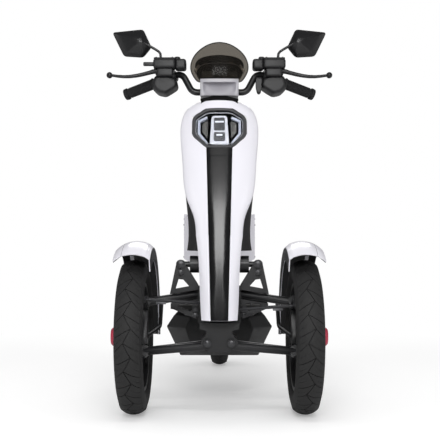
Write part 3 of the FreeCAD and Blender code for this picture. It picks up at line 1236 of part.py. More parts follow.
def make_seat():
    """Seat cushion on its hinge, storage bucket under it, and the white panels at its sides."""
    sections = []
    for mark, y, half, low, high in (("a", "seat_front", "96", "6", "seat_height - 44"), ("b", "seat_front + 50", "128", "1", "seat_height - 22"),
                                     ("c", "seat_front + 220", "seat_half", "1", "seat_height - 24"),
                                     ("d", "seat_front + 350", "132", "1", "seat_height - 4"),
                                     ("e", "seat_rear - 60", "112", "1", "seat_height"), ("f", "seat_rear", "78", "6", "seat_height - 14")):
        sketch = doc.addObject("Sketcher::SketchObject", "seat_" + mark)
        draw(sketch, [
            (f"-{half}", f"seat_z + {low}"), (half, f"seat_z + {low}"),
            (half, f"seat_z + {high} - 22", ("0", f"seat_z + {high}")),
            (f"-{half}", f"seat_z + {high} - 22"),
        ])
        sections.append(place(sketch, "0", y, "0", Vector(1, 0, 0), "90"))
    cushion = loft("seat_form", sections)
    node("seat", cushion)
    base = block("seat_pan", ("-88", "seat_front + 40", "seat_z - 9"), ("88", "seat_rear - 70", "seat_z - seat_gap"))
    rim = "(seat_z - 9 - seat_gap)"
    outer = block("bucket_outer", ("-bucket_half", "bucket_front", "bucket_foot"), ("bucket_half", "bucket_rear", rim))
    ledge = "(upper_rail_z + rail_radius + seat_gap)"
    wing = block("bucket_wing", ("-upper_rail_x", "bucket_front + 10", ledge), ("upper_rail_x", "bucket_rear - 10", f"{ledge} + shell_wall"))
    hollow = block("bucket_inner", ("shell_wall - bucket_half", "bucket_front + shell_wall", "bucket_foot + shell_wall"),
                   ("bucket_half - shell_wall", "bucket_rear - shell_wall", "seat_z"))
    node("seat_pan", base)
    node("storage_bucket", cut("bucket_cut", join("bucket_all", outer, wing), hollow))
    panel = new_body("side_panel")
    sketch = new_sketch(panel, "PanelOutline", "YZ_Plane", "side_half - 4")
    draw(sketch, [
        ("side_front", "side_foot"), ("side_front + 120", "side_foot + 20"), ("side_rear - 120", "side_foot + 80"),
        ("side_rear", "side_top - 50"), ("side_rear", "side_top", ("420", "side_top + 4")), ("side_front", "side_top"),
    ])
    pad(panel, sketch, "4")
    pegs = []
    for mark, y in (("front", "side_front + 170"), ("rear", "side_rear - 90")):
        start = "(upper_rail_x + rail_radius + seat_gap)"
        pegs.append(rod("panel_peg_" + mark, start, y, "upper_rail_z", "X", "9", f"side_half - 1 - {start}"))
    side = join("side_panel_all", panel, *pegs)
    front = plate("seat_front_cover", "XZ_Plane", [
        ("-side_half", "side_top"), ("-side_half", "side_foot"), ("-110", "side_foot - 20"), ("110", "side_foot - 20"),
        ("side_half", "side_foot"), ("side_half", "side_top"),
    ], "-side_front - 4", "4")
    node("side_panels", join("side_panels_all", side, mirrored("side_panel_other", side), front))


def make_swing_arm():
    body = new_body("swing_leg")
    sketch = new_sketch(body, "SwingOutline", "YZ_Plane", "swing_half")
    draw(sketch, [
        ("swing_pivot_y - 22", "swing_pivot_z"), ("swing_pivot_y", "swing_pivot_z - 22"),
        (f"{REAR_AXLE_Y} - 40", f"{AXLE_Z} - 20"), (f"{REAR_AXLE_Y} + 24", f"{AXLE_Z} - 22"),
        (f"{REAR_AXLE_Y} + 24", f"{AXLE_Z} + 22"), (f"{REAR_AXLE_Y} - 80", f"{AXLE_Z} + 40"), ("swing_pivot_y", "swing_pivot_z + 22"),
    ])
    pad(body, sketch, "swing_wall")
    clevis = shock_clevis("shock_foot", "1", "shock_foot_y", "shock_foot_z", ("shock_foot_y - 14", "shock_foot_y + 12"),
                          ("swing_pivot_z", "shock_foot_z + 12"))
    side = join("swing_side", body, *clevis)
    cross = block("swing_cross", ("-swing_half - 2", "swing_pivot_y + 34", "swing_pivot_z - 16"),
                  ("swing_half + 2", "swing_pivot_y + 62", "swing_pivot_z + 14"))
    axle = rod("rear_axle", "-rear_axle_half", REAR_AXLE_Y, AXLE_Z, "X", "rear_axle_radius", "2 * rear_axle_half")
    solid = join("swing_solid", side, mirrored("swing_other", side), cross, axle)
    hole = rod("swing_hole", "-swing_half - 30", "swing_pivot_y", "swing_pivot_z", "X", "8 + shaft_play", "2 * swing_half + 60")
    node("swing_arm", cut("swing_cut", solid, hole))


def make_shocks():
    """Rear shock with its coil, leaning forward from the swing arm to the frame."""
    foot = ("shock_x", "shock_foot_y", "shock_foot_z")
    head = ("shock_x", "shock_head_y", "shock_head_z")
    core = tube("shock_core", [foot, head], "8")

    def along(share):
        return tuple(f"{a} + ({b} - {a}) * {share}" for a, b in zip(foot, head))
    can = tube("shock_can", [along(0.16), along(0.45)], "15")
    cap_low = tube("shock_cap_low", [along(0.16), along(0.19)], "shock_radius + 3")
    cap_high = tube("shock_cap_high", [along(0.79), along(0.83)], "shock_radius + 3")
    parts = [core, can, cap_low, cap_high]
    lean = "atan2(shock_foot_y - shock_head_y; shock_head_z - shock_foot_z)"
    run = "sqrt((shock_head_y - shock_foot_y) ^ 2 + (shock_head_z - shock_foot_z) ^ 2)"
    coil = spring_form("shock_spring", "shock_radius - 6", "shock_radius", f"{run} * 0.61", 7)
    parts.append(place(coil, *along(0.19), Vector(1, 0, 0), lean))
    for mark, spot in (("low", foot), ("high", head)):
        parts.append(rod("shock_eye_" + mark, "shock_x - 9", spot[1], spot[2], "X", "13", "18"))
    holes = [rod("shock_bore_" + mark, "shock_x - 10", spot[1], spot[2], "X", "6 + shaft_play", "20")
             for mark, spot in (("low", foot), ("high", head))]
    node("rear_shocks", pair("shock_pair", cut("shock_cut", join("shock_all", *parts), join("shock_bores", *holes))))


def make_rear():
    fender = new_body("rear_fender")
    sketch = new_sketch(fender, "RearFenderSection", "XY_Plane")
    draw(sketch, [
        ("-fender_half", "fender_radius - 26"), ("-fender_half", "fender_radius - 6", ("0", "fender_radius + 6")),
        ("fender_half", "fender_radius - 6"), ("fender_half", "fender_radius - 26"),
        ("fender_half - fender_wall", "fender_radius - 26"),
        ("fender_half - fender_wall", "fender_radius - 8", ("0", "fender_radius + 3")),
        ("fender_wall - fender_half", "fender_radius - 8"),
        ("fender_wall - fender_half", "fender_radius - 26"),
    ])
    shell = turned(fender, sketch)
    shell.Angle = 118
    place(fender, "0", REAR_AXLE_Y, AXLE_Z, Vector(1, 0, 0), "22")
    node("rear_fender", fender)
    rail = [("rack_half", "rack_front", "upper_rail_z + rail_radius + 10"), ("rack_half", "rack_front + 30", "rack_z"),
            ("rack_half", "rack_rear", "rack_z"), ("0", "rack_rear + 16", "rack_z")]
    right = tube("rack_rail", rail, "rack_tube", "14")
    foot = block("rack_foot", ("rack_half - 10", "rack_front - 14", "upper_rail_z + rail_radius + seat_gap"),
                 ("rack_half + 10", "rack_front + 14", "upper_rail_z + rail_radius + 16"))
    body = new_body("rack_top")
    outline = new_sketch(body, "RackTop", "XY_Plane", "rack_z + rack_tube - rack_plate")
    middle = "(rack_front + rack_rear) / 2 + 20"
    draw(outline, [("-rack_half", "rack_front + 46"), ("rack_half", "rack_front + 46"), ("rack_half", "rack_rear - 8"),
                   ("-rack_half", "rack_rear - 8")])
    draw(outline, [("-30", f"{middle} - 30"), ("30", f"{middle} - 30"), ("30", f"{middle} + 30"), ("-30", f"{middle} + 30")])
    for sx in ("-1", "1"):
        for sy in ("-1", "1"):
            ring(outline, f"{sx} * rack_bolt_x / 2", f"{middle} + {sy} * rack_bolt_y / 2", "rack_hole")
    pad(body, outline, "rack_plate")
    node("rear_rack", join("rack_all", right, mirrored("rack_rail_left", right), foot, mirrored("rack_foot_left", foot), body))
    lamp = new_body("tail_lamp")
    lens = new_sketch(lamp, "TailOutline", "XZ_Plane", "-upper_rail_rear - 34 - seat_gap")
    draw(lens, [("-64", "592"), ("64", "592"), ("70", "600"), ("70", "640"), ("58", "654", ("0", "660")), ("-58", "654"), ("-70", "640"),
                ("-70", "600")])
    pad(lamp, lens, "34")
    node("tail_lamp", lamp)
    signal = tube("signal_stalk", [("70 + seat_gap", "upper_rail_rear + 18", "620"), ("112", "upper_rail_rear + 18", "620")], "6")
    bulb = tube("signal_bulb", [("108", "upper_rail_rear + 18", "620"), ("142", "upper_rail_rear + 22", "620")], "16")
    node("rear_signals", pair("signal_pair", join("signal", signal, bulb)))
    tail = "total_length / 2"
    holder = new_body("plate_holder")
    face = new_sketch(holder, "HolderOutline", "XZ_Plane", f"-{tail}")
    draw(face, [("-60", "400"), ("60", "400"), ("70", "410"), ("70", "520"), ("22", "600"), ("-22", "600"), ("-70", "520"),
                ("-70", "410")])
    ring(face, "-30", "500", "3.3")
    ring(face, "30", "500", "3.3")
    pad(holder, face, "4")
    under = "(upper_rail_z - rail_radius + 4 - seat_gap)"
    arm = block("holder_arm", ("-20", "upper_rail_rear - 18", f"{under} - 12"), ("20", f"{tail} - 2", under))
    node("plate_bracket", join("plate_all", holder, arm))


def save_nodes():
    """Check every object, then write one file for each named sub-part."""
    doc.recompute()
    for thing in doc.Objects:
        if "Invalid" in thing.State or "Error" in thing.State:
            raise ValueError(f"{thing.Label} failed: {thing.State}")
    os.makedirs("parts", exist_ok=True)
    for thing in nodes:
        shape = thing.Shape
        if shape.isNull() or not shape.isValid():
            raise ValueError(f"{thing.Label} has no valid shape")
        shape.exportStep(f"parts/{thing.Label}.step")
        print(thing.Label, len(shape.Solids), round(shape.Volume))


front_wheel()
rear_wheel()
front_corner()
tie_rod("tie_rod_right", "1", "-1")
tie_rod("tie_rod_left", "-1", "1")
make_column()
make_handlebar()
make_controls()
make_mirrors()
make_head()
make_shield()
make_leg_shield()
node("upper_arms", pair("upper_arm_pair", upper_arm()))
node("lower_arms", pair("lower_arm_pair", lower_arm()))
make_damper()
make_frame()
make_floor()
make_seat()
make_swing_arm()
make_shocks()
make_rear()
save_nodes()
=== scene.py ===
import math

import bmesh
import bpy
from mathutils import Matrix, Vector


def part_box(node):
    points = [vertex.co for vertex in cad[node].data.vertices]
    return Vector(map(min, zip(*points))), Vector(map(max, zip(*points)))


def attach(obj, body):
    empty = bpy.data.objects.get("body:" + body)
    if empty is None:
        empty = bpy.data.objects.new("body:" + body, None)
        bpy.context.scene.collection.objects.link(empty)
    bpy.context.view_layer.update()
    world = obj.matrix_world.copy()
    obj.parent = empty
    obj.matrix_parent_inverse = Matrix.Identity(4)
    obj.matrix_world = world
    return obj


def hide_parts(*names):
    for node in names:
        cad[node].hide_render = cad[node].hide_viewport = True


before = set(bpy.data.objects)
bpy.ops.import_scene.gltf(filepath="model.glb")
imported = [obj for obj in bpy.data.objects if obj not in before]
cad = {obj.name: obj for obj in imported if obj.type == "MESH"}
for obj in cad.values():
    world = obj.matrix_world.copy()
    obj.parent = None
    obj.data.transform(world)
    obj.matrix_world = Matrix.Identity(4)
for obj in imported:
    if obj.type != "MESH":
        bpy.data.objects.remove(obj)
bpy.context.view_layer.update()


# The camera stands in front of the trike at knee height and looks straight back.
# Its shift moves the picture, so that uprights stay upright as in the photograph.
def add_object(name, data):
    """A new object of the scene that holds the data."""
    thing = bpy.data.objects.new(name, data)
    bpy.context.scene.collection.objects.link(thing)
    return thing


FOCAL_PIXELS = 825
FRAME_PIXELS = 440
SHIFT_PIXELS = (0.6, 46)
camera_data = bpy.data.cameras.new("front_view")
camera_data.sensor_width = 36
camera_data.lens = FOCAL_PIXELS / FRAME_PIXELS * camera_data.sensor_width
camera_data.shift_x = SHIFT_PIXELS[0] / FRAME_PIXELS
camera_data.shift_y = SHIFT_PIXELS[1] / FRAME_PIXELS
camera = add_object("front_view", camera_data)
camera.location = (0, -3.115, 0.4416)
camera.rotation_euler = (math.radians(90), 0, 0)
bpy.context.scene.camera = camera
bpy.context.scene.view_settings.view_transform = "Standard"


# The studio: a pale floor that runs out into a white surround, with soft lamps
# over the front, at both sides and behind, as for a catalogue picture.
def mesh_of(name, form):
    """The mesh of a form, which isn't needed any more."""
    mesh = bpy.data.meshes.new(name)
    form.to_mesh(mesh)
    form.free()
    return mesh


def add_node(tree, kind, inputs=None, **settings):
    """A new shader node. An input is given a value, or the node and outlet that feed it."""
    node = tree.nodes.new("ShaderNode" + kind)
    for setting, choice in settings.items():
        setattr(node, setting, choice)
    for socket, source in (inputs or {}).items():
        if isinstance(source, tuple) and isinstance(source[0], bpy.types.Node):
            tree.links.new(source[0].outputs[source[1]], node.inputs[socket])
        else:
            node.inputs[socket].default_value = source
    return node


# Each lamp: its name, place, target, width, height and power.
SOFT_LAMPS = (("over_front", (0, -2.24, 2.76), (0, -0.62, 0.55), 1.5, 0.42, 16),
              ("over_middle", (0, -1.8, 2.9), (0, -0.55, 0.65), 1.5, 0.4, 1.2),
              ("key_front", (0, -3.9, 1.75), (0, -0.6, 0.5), 1.5, 0.8, 58),
              ("left_side", (-2.8, -1.0, 1.6), (0, -0.3, 0.5), 1.0, 1.6, 8),
              ("right_side", (2.8, -1.0, 1.6), (0, -0.3, 0.5), 1.0, 1.6, 8),
              ("over_back", (0, 2.6, 2.6), (0, 0.4, 0.5), 2.2, 1.0, 26))
for name, place, target, width, height, power in SOFT_LAMPS:
    lamp = bpy.data.lights.new(name, "AREA")
    lamp.shape = "RECTANGLE"
    lamp.size, lamp.size_y, lamp.energy = width, height, power
    holder = add_object(name, lamp)
    holder.location = place
    holder.rotation_euler = (Vector(target) - Vector(place)).to_track_quat("-Z", "Y").to_euler()

SURROUND_LIGHT = 0.5
SURROUND_GLOSS = 0.16


def seen_directly(tree):
    """1 for camera and transmission rays, which see the white surround itself."""
    ray = add_node(tree, "LightPath")
    return add_node(tree, "Math", {0: (ray, "Is Camera Ray"), 1: (ray, "Is Transmission Ray")},
                    operation="MAXIMUM")


surround = bpy.data.worlds.new("white_surround")
surround.use_nodes = True
bpy.context.scene.world = surround
tree = surround.node_tree
tree.nodes.clear()
ray = add_node(tree, "LightPath")
dim = add_node(tree, "MapRange", {"Value": (ray, "Is Glossy Ray"), "To Min": SURROUND_LIGHT,
                                  "To Max": SURROUND_GLOSS})
level = add_node(tree, "MapRange", {"Value": (seen_directly(tree), 0), "To Min": (dim, 0), "To Max": 1.0})
glow = add_node(tree, "Background", {"Color": (1, 1, 1, 1), "Strength": (level, 0)})
add_node(tree, "OutputWorld", {"Surface": (glow, 0)})

FLOOR_SIZE = 14
FLOOR_NEAR = 1.15
FLOOR_FAR = 2.6
FLOOR_LIFT = 0.3
floor_form = bmesh.new()
bmesh.ops.create_grid(floor_form, x_segments=1, y_segments=1, size=FLOOR_SIZE)
floor = add_object("studio_floor", mesh_of("studio_floor", floor_form))
pale = bpy.data.materials.new("pale_floor")
pale.use_nodes = True
tree = pale.node_tree
tree.nodes.clear()
seen = seen_directly(tree)
diffuse = add_node(tree, "BsdfDiffuse", {"Color": (0.8, 0.8, 0.8, 1)})
share = add_node(tree, "Math", {0: (seen, 0), 1: FLOOR_LIFT}, operation="MULTIPLY")
lift = add_node(tree, "Emission", {"Strength": (share, 0)})
near = add_node(tree, "AddShader", {0: (diffuse, 0), 1: (lift, 0)})
reach = add_node(tree, "VectorMath", {0: (add_node(tree, "TexCoord"), "Object")}, operation="LENGTH")
fade = add_node(tree, "MapRange", {"Value": (reach, "Value"), "From Min": FLOOR_NEAR, "From Max": FLOOR_FAR},
                interpolation_type="SMOOTHSTEP")
faded = add_node(tree, "Math", {0: (fade, 0), 1: (seen, 0)}, operation="MULTIPLY")
white = add_node(tree, "Emission")
mixed = add_node(tree, "MixShader", {0: (faded, 0), 1: (near, 0), 2: (white, 0)})
add_node(tree, "OutputMaterial", {"Surface": (mixed, 0)})
floor.data.materials.append(pale)


# Tyres: black road rubber on 12 inch rims. A zigzag groove runs round the crown, and
# slanting grooves cross both shoulders, so the tread is made of blocks on a plain carcass.
# The rubber has fine relief and slightly rubbed, dusty patches.
def shader_group(name, inputs, outputs):
    group = bpy.data.node_groups.new(name, "ShaderNodeTree")
    for socket, number in inputs.items():
        made = group.interface.new_socket(name=socket, in_out="INPUT", socket_type="NodeSocketFloat")
        made.default_value = number
    for socket in outputs:
        group.interface.new_socket(name=socket, in_out="OUTPUT", socket_type="NodeSocketFloat")
    return group, group.nodes.new("NodeGroupInput"), group.nodes.new("NodeGroupOutput")


fine_relief, given, result = shader_group("fine_relief", {"Scale": 400.0, "Detail": 2.0}, ["Height"])
speckle = add_node(fine_relief, "TexNoise", {"Vector": (add_node(fine_relief, "TexCoord"), "Object"),
                                             "Scale": (given, "Scale"), "Detail": (given, "Detail")})
fine_relief.links.new(speckle.outputs[0], result.inputs["Height"])

rubbed_patches, given, result = shader_group("rubbed_patches", {"Scale": 9.0, "Base": 0.4, "Spread": 0.1},
                                             ["Roughness", "Dust"])
cloud = add_node(rubbed_patches, "TexNoise", {"Vector": (add_node(rubbed_patches, "TexCoord"), "Object"),
                                              "Scale": (given, "Scale"), "Detail": 5})
spread = add_node(rubbed_patches, "Math", {0: (cloud, 0), 1: (given, "Spread"), 2: (given, "Base")},
                  operation="MULTIPLY_ADD")
rubbed_patches.links.new(spread.outputs[0], result.inputs["Roughness"])
rubbed_patches.links.new(cloud.outputs[0], result.inputs["Dust"])


def add_relief(material, scale, depth, detail=2.0):
    tree = material.node_tree
    grain = add_node(tree, "Group", {"Scale": scale, "Detail": detail}, node_tree=fine_relief)
    bump = add_node(tree, "Bump", {"Strength": depth, "Distance": 0.001, "Height": (grain, "Height")})
    tree.links.new(bump.outputs[0], tree.nodes["Principled BSDF"].inputs["Normal"])


def add_rubbing(material, base, spread, scale=9.0, dust=None):
    tree = material.node_tree
    shader = tree.nodes["Principled BSDF"]
    patches = add_node(tree, "Group", {"Scale": scale, "Base": base - spread / 2, "Spread": spread},
                       node_tree=rubbed_patches)
    tree.links.new(patches.outputs["Roughness"], shader.inputs["Roughness"])
    if dust:
        clean = shader.inputs["Base Color"].default_value[:]
        tint = add_node(tree, "Mix", {0: (patches, "Dust"), 6: clean, 7: (*dust, 1)}, data_type="RGBA")
        tree.links.new(tint.outputs[2], shader.inputs["Base Color"])


def finish(name, color, roughness, metallic=0.0, relief=None, rubbing=None, **sockets):
    """A material with a scale and depth of relief, and a base and spread of its rubbed roughness."""
    material = bpy.data.materials.new(name)
    material.use_nodes = True
    shader = material.node_tree.nodes["Principled BSDF"]
    shader.inputs["Base Color"].default_value = (*color, 1)
    shader.inputs["Roughness"].default_value = roughness
    shader.inputs["Metallic"].default_value = metallic
    for socket, number in sockets.items():
        shader.inputs[socket.replace("_", " ")].default_value = number
    if relief:
        add_relief(material, *relief)
    if rubbing:
        add_rubbing(material, *rubbing)
    return material


def dress(material, *names):
    for name in names:
        mesh = cad[name].data
        if not mesh.materials:
            mesh.materials.append(material)
        for i in range(len(mesh.materials)):
            mesh.materials[i] = material


def place_form(name, form, body, material, sharp=35):
    """One finished piece: it rides on a body and has its own finish."""
    mesh = mesh_of(name, form)
    mesh.materials.append(material)
    piece = add_object(name, mesh)
    mesh.shade_smooth()
    mesh.set_sharp_from_angle(angle=math.radians(sharp))
    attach(piece, body)
    return piece


def make_piece(name, form, body, material, sharp=35):
    """One finished piece from a form that is still to be cleaned."""
    bmesh.ops.remove_doubles(form, verts=form.verts, dist=1e-6)
    bmesh.ops.recalc_face_normals(form, faces=form.faces)
    return place_form(name, form, body, material, sharp)


TYRE_RADIUS = 0.23
CROWN_ROUND = 0.0496
TREAD_DEPTH = 0.0035
TREAD_ROOT = 0.001
TYRE_STEPS = 96
TREAD_HALF = 0.034
ZIGZAG = 0.01
PITCHES = 18
GROOVE = 0.0022
GROOVE_SLANT = 0.62
CROSS_GROOVE = GROOVE * 0.5
SIPE = GROOVE * 0.35
SIPE_START = 0.3
tyre_rubber = finish("tyre_rubber", (0.011, 0.011, 0.012), 0.7, relief=(900, 0.25),
                     rubbing=(0.7, 0.14, 14, (0.018, 0.0175, 0.017)), Specular_IOR_Level=0.4)


def crown_radius(x):
    return TYRE_RADIUS - CROWN_ROUND + math.sqrt(CROWN_ROUND ** 2 - x ** 2)


def tread_corner(side, edge, along):
    """Middle zigzag and outer edge of one side of the tread, at a count of half pitches."""
    step = math.pi * TYRE_RADIUS / PITCHES
    if edge == "middle":
        return along * step, ZIGZAG * (-1 if along % 2 == 0 else 1)
    return (along + GROOVE_SLANT) * step, side * TREAD_HALF


def tread_block(form, side, along, start, stop):
    """One block between two slanting grooves; start and stop are shares of a half pitch."""
    made = bmesh.ops.create_grid(form, x_segments=4, y_segments=2, size=0.5)
    inner_a, inner_b = tread_corner(side, "middle", along), tread_corner(side, "middle", along + 1)
    outer_a, outer_b = tread_corner(side, "outer", along), tread_corner(side, "outer", along + 1)
    for point in made["verts"]:
        across, down = point.co.x + 0.5, point.co.y + 0.5
        sipe = SIPE * max(0, across - SIPE_START)
        edge_gap = CROSS_GROOVE if start == 0 else sipe
        far_gap = CROSS_GROOVE if stop == 1 else sipe
        share = start + (stop - start) * down
        inner = [a + (b - a) * share for a, b in zip(inner_a, inner_b)]
        outer = [a + (b - a) * share for a, b in zip(outer_a, outer_b)]
        s = inner[0] + (outer[0] - inner[0]) * across
        x = inner[1] + (outer[1] - inner[1]) * across
        s += edge_gap * (1 - down) - far_gap * down
        x += side * CROSS_GROOVE * (1 - across)
        angle = s / TYRE_RADIUS
        radius = crown_radius(x)
        point.co = (x, radius * math.cos(angle), radius * math.sin(angle))


def make_tread():
    form = bmesh.new()
    for side in (-1, 1):
        for along in range(PITCHES * 2):
            tread_block(form, side, along, 0, 0.5)
            tread_block(form, side, along, 0.5, 1)
    bmesh.ops.recalc_face_normals(form, faces=form.faces)
    for face in form.faces:
        face.normal_update()
        middle = face.calc_center_median()
        if face.normal.dot(Vector((0, middle.y, middle.z))) < 0:
            face.normal_flip()
    bmesh.ops.solidify(form, geom=form.faces[:], thickness=TREAD_DEPTH + TREAD_ROOT)
    return form


def make_carcass():
    """The tyre under its tread: sidewalls with a raised band each, and the groove floor."""
    half = [(0.0, 0.2265), (0.014, 0.2245), (0.026, 0.2195), (0.0335, 0.2125), (0.0375, 0.2045),
            (0.0386, 0.2), (0.0394, 0.1975), (0.0399, 0.192), (0.0398, 0.186), (0.039, 0.181),
            (0.0382, 0.1785), (0.0355, 0.172), (0.0318, 0.1665), (0.029, 0.1634), (0.0278, 0.163),
            (0.025, 0.1565)]
    outline = [(-x, r) for x, r in reversed(half[1:])] + half
    form = bmesh.new()
    points = [form.verts.new((x, r, 0)) for x, r in outline]
    edges = [form.edges.new(pair) for pair in zip(points, points[1:])]
    bmesh.ops.spin(form, geom=points + edges, cent=(0, 0, 0), axis=(1, 0, 0), angle=2 * math.pi,
                   steps=TYRE_STEPS, use_merge=True)
    return form


def middle_of(name):
    low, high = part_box(name)
    return (low + high) / 2


tread_mesh = mesh_of("tread_shape", make_tread())
for tyre_name, body in (("front_tyre_left", "wheel_left"), ("front_tyre_right", "wheel_right"),
                        ("rear_tyre", "rear_wheel")):
    form = make_carcass()
    bmesh.ops.recalc_face_normals(form, faces=form.faces)
    form.from_mesh(tread_mesh)
    bmesh.ops.translate(form, verts=form.verts, vec=middle_of(tyre_name))
    tyre = place_form(tyre_name + "_tread", form, body, tyre_rubber)
    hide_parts(tyre_name)


# Front and rear rims: five-spoke castings in satin black, the rear one round its motor.
# A valve with a rubber skirt stands in each rim.
cast_black = finish("cast_black", (0.01, 0.01, 0.011), 0.42, relief=(500, 0.12), rubbing=(0.42, 0.14))


def aim_form(form, spot, direction):
    """Moves a form from the origin to a spot, with its Z axis along a direction."""
    turn = Vector(direction).to_track_quat("Z", "Y").to_matrix().to_4x4()
    bmesh.ops.transform(form, matrix=Matrix.Translation(spot) @ turn, verts=form.verts)


def turned_form(profile, start, toward, steps=40):
    """A form turned from (distance, radius) pairs about the line from start towards a point."""
    form = bmesh.new()
    points = [form.verts.new((radius, 0, along)) for along, radius in profile]
    edges = [form.edges.new(pair) for pair in zip(points, points[1:])]
    bmesh.ops.spin(form, geom=points + edges, cent=(0, 0, 0), axis=(0, 0, 1), angle=2 * math.pi, steps=steps,
                   use_merge=True)
    bmesh.ops.remove_doubles(form, verts=form.verts, dist=1e-7)
    aim_form(form, start, Vector(toward) - Vector(start))
    return form


dress(cast_black, "front_rim_left", "front_rim_right", "rear_rim")
valve_rubber = finish("valve_rubber", (0.02, 0.02, 0.02), 0.6, relief=(800, 0.15))
VALVE_ANGLE = 0.6
VALVE_CIRCLE = 0.132
VALVE_OFFSET = 0.018
VALVE_SLANT = 0.8
VALVE = [(0, 0), (0, 0.006), (0.008, 0.0055), (0.012, 0.0042), (0.024, 0.0038), (0.025, 0.0046),
         (0.034, 0.0046), (0.035, 0.0038), (0.035, 0)]
for tyre_name, body, side in (("front_tyre_left", "wheel_left", -1), ("front_tyre_right", "wheel_right", 1),
                              ("rear_tyre", "rear_wheel", 1)):
    hub = middle_of(tyre_name)
    outward = Vector((0, math.sin(VALVE_ANGLE), math.cos(VALVE_ANGLE)))
    start = hub + Vector((side * VALVE_OFFSET, 0, 0)) + outward * VALVE_CIRCLE
    toward = start + Vector((side * VALVE_SLANT, 0, 0)) - outward
    make_piece(tyre_name + "_valve", turned_form(VALVE, start, toward, 20), body, valve_rubber)

# Hub motor: a cast alloy drum in grey black with a ring of cover screws on each side,
# bolted into the rear rim.
motor_alloy = finish("motor_alloy", (0.03, 0.03, 0.032), 0.38, 0.3, relief=(420, 0.15),
                     rubbing=(0.38, 0.14))
dress(motor_alloy, "hub_motor")
screw_steel = finish("screw_steel", (0.055, 0.055, 0.058), 0.34, 0.6, relief=(1500, 0.08),
                     rubbing=(0.34, 0.16, 60))


def gather(*forms):
    """Several forms in one, for like pieces that share a finish and a body. It uses them up."""
    whole = bmesh.new()
    carrier = bpy.data.meshes.new("carrier")
    for form in forms:
        bmesh.ops.recalc_face_normals(form, faces=form.faces)
        form.to_mesh(carrier)
        form.free()
        whole.from_mesh(carrier)
    bpy.data.meshes.remove(carrier)
    return whole


def cap_screw(spot, toward, radius, height=None):
    """A round socket screw on a washer: its head, its chamfer and the socket in it."""
    height = height or radius * 0.9
    washer = radius * 1.35
    socket_foot = height * 0.45
    profile = [(0, washer), (radius * 0.16, washer), (radius * 0.16, radius), (height * 0.85, radius),
               (height, radius * 0.86), (height, radius * 0.5), (socket_foot, radius * 0.46),
               (socket_foot, 0)]
    return turned_form(profile, spot, Vector(spot) + Vector(toward), 24)


def ring_of(count, center, side, radius):
    """Places evenly round an axle, on one side of it."""
    for i in range(count):
        angle = 2 * math.pi * i / count
        yield Vector(center) + Vector((side, radius * math.sin(angle), radius * math.cos(angle)))


rear_hub = middle_of("rear_tyre")
COVER_SCREWS = 10
COVER_SCREW_RADIUS = 0.0032
COVER_CIRCLE = 0.074
COVER_FACE = 0.0425
cover_screws = [cap_screw(spot, (side, 0, 0), COVER_SCREW_RADIUS)
                for side in (-1, 1)
                for spot in ring_of(COVER_SCREWS, rear_hub, side * COVER_FACE, COVER_CIRCLE)]
make_piece("motor_cover_screws", gather(*cover_screws), "rear_wheel", screw_steel)

# Front brake discs: drilled stainless steel, screwed to the inner end of each hub.
disc_steel = finish("disc_steel", (0.42, 0.42, 0.43), 0.3, 1.0, relief=(1200, 0.1), rubbing=(0.3, 0.16, 40))
dress(disc_steel, "brake_disc_left", "brake_disc_right")
SIDES = ((-1, "left"), (1, "right"))
DISC_FACE = -0.002
DISC_SCREWS = 5
DISC_CIRCLE = 0.0255
for side, name in SIDES:
    hub = middle_of("front_tyre_" + name)
    heads = [cap_screw(spot, (-side, 0, 0), 0.0042, 0.0034)
             for spot in ring_of(DISC_SCREWS, hub, side * DISC_FACE, DISC_CIRCLE)]
    make_piece("disc_screws_" + name, gather(*heads), "wheel_" + name, screw_steel)

# Hub caps: turned aluminium, anodised red, pressed over each stub axle's end, with a
# shallow dish. A flat black hexagon on each end is painted shade that stands for the wrench's recess.
red_anodised = finish("red_anodised", (0.5, 0.035, 0.075), 0.4, 0.25, relief=(700, 0.06),
                      rubbing=(0.4, 0.1, 30), Coat_Weight=0.3)
CAP_RING = [(0, 0.0165), (0.0009, 0.017), (0.0009, 0.0225), (0, 0.023)]
SOCKET_RADIUS = 0.0085
SOCKET_DEPTH = 0.0008
recess_painted_shade = finish("recess_painted_shade", (0.012, 0.012, 0.013), 0.6, relief=(700, 0.1), rubbing=(0.6, 0.1, 30))


def round_edges(piece, width, angle, segments, harden=True):
    """A live bevel on the edges of a piece that are sharper than an angle."""
    edge = piece.modifiers.new("rounded_edges", "BEVEL")
    edge.width = width
    edge.segments = segments
    edge.limit_method = "ANGLE"
    edge.angle_limit = math.radians(angle)
    edge.harden_normals = harden


def rounded_copy(name, body, material, width, angle=40, segments=2):
    """A CAD node's own mesh with its hard edges rounded, which stands for the node."""
    form = bmesh.new()
    form.from_mesh(cad[name].data)
    bmesh.ops.remove_doubles(form, verts=form.verts, dist=1e-5)
    bmesh.ops.dissolve_limit(form, angle_limit=math.radians(0.6), verts=form.verts, edges=form.edges)
    piece = make_piece(name + "_finished", form, body, material, 180)
    round_edges(piece, width, angle, segments)
    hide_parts(name)


for side, name in SIDES:
    rounded_copy("hub_cap_" + name, "wheel_" + name, red_anodised, 0.0007)
    low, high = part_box("hub_cap_" + name)
    middle = (low + high) / 2
    end = high.x if side > 0 else low.x
    start = Vector((end, middle.y, middle.z))
    outward = Vector((side, 0, 0))
    make_piece("hub_cap_ring_" + name, turned_form(CAP_RING, start, start + outward, 64), "wheel_" + name,
               red_anodised)
    # A thin black hexagon at the cap's end, not a hollow: painted shade for the wrench recess.
    socket = bmesh.new()
    bmesh.ops.create_cone(socket, cap_ends=True, segments=6, radius1=SOCKET_RADIUS, radius2=SOCKET_RADIUS,
                          depth=SOCKET_DEPTH)
    aim_form(socket, start, outward)
    make_piece("hub_cap_recess_shade_" + name, socket, "wheel_" + name, recess_painted_shade)

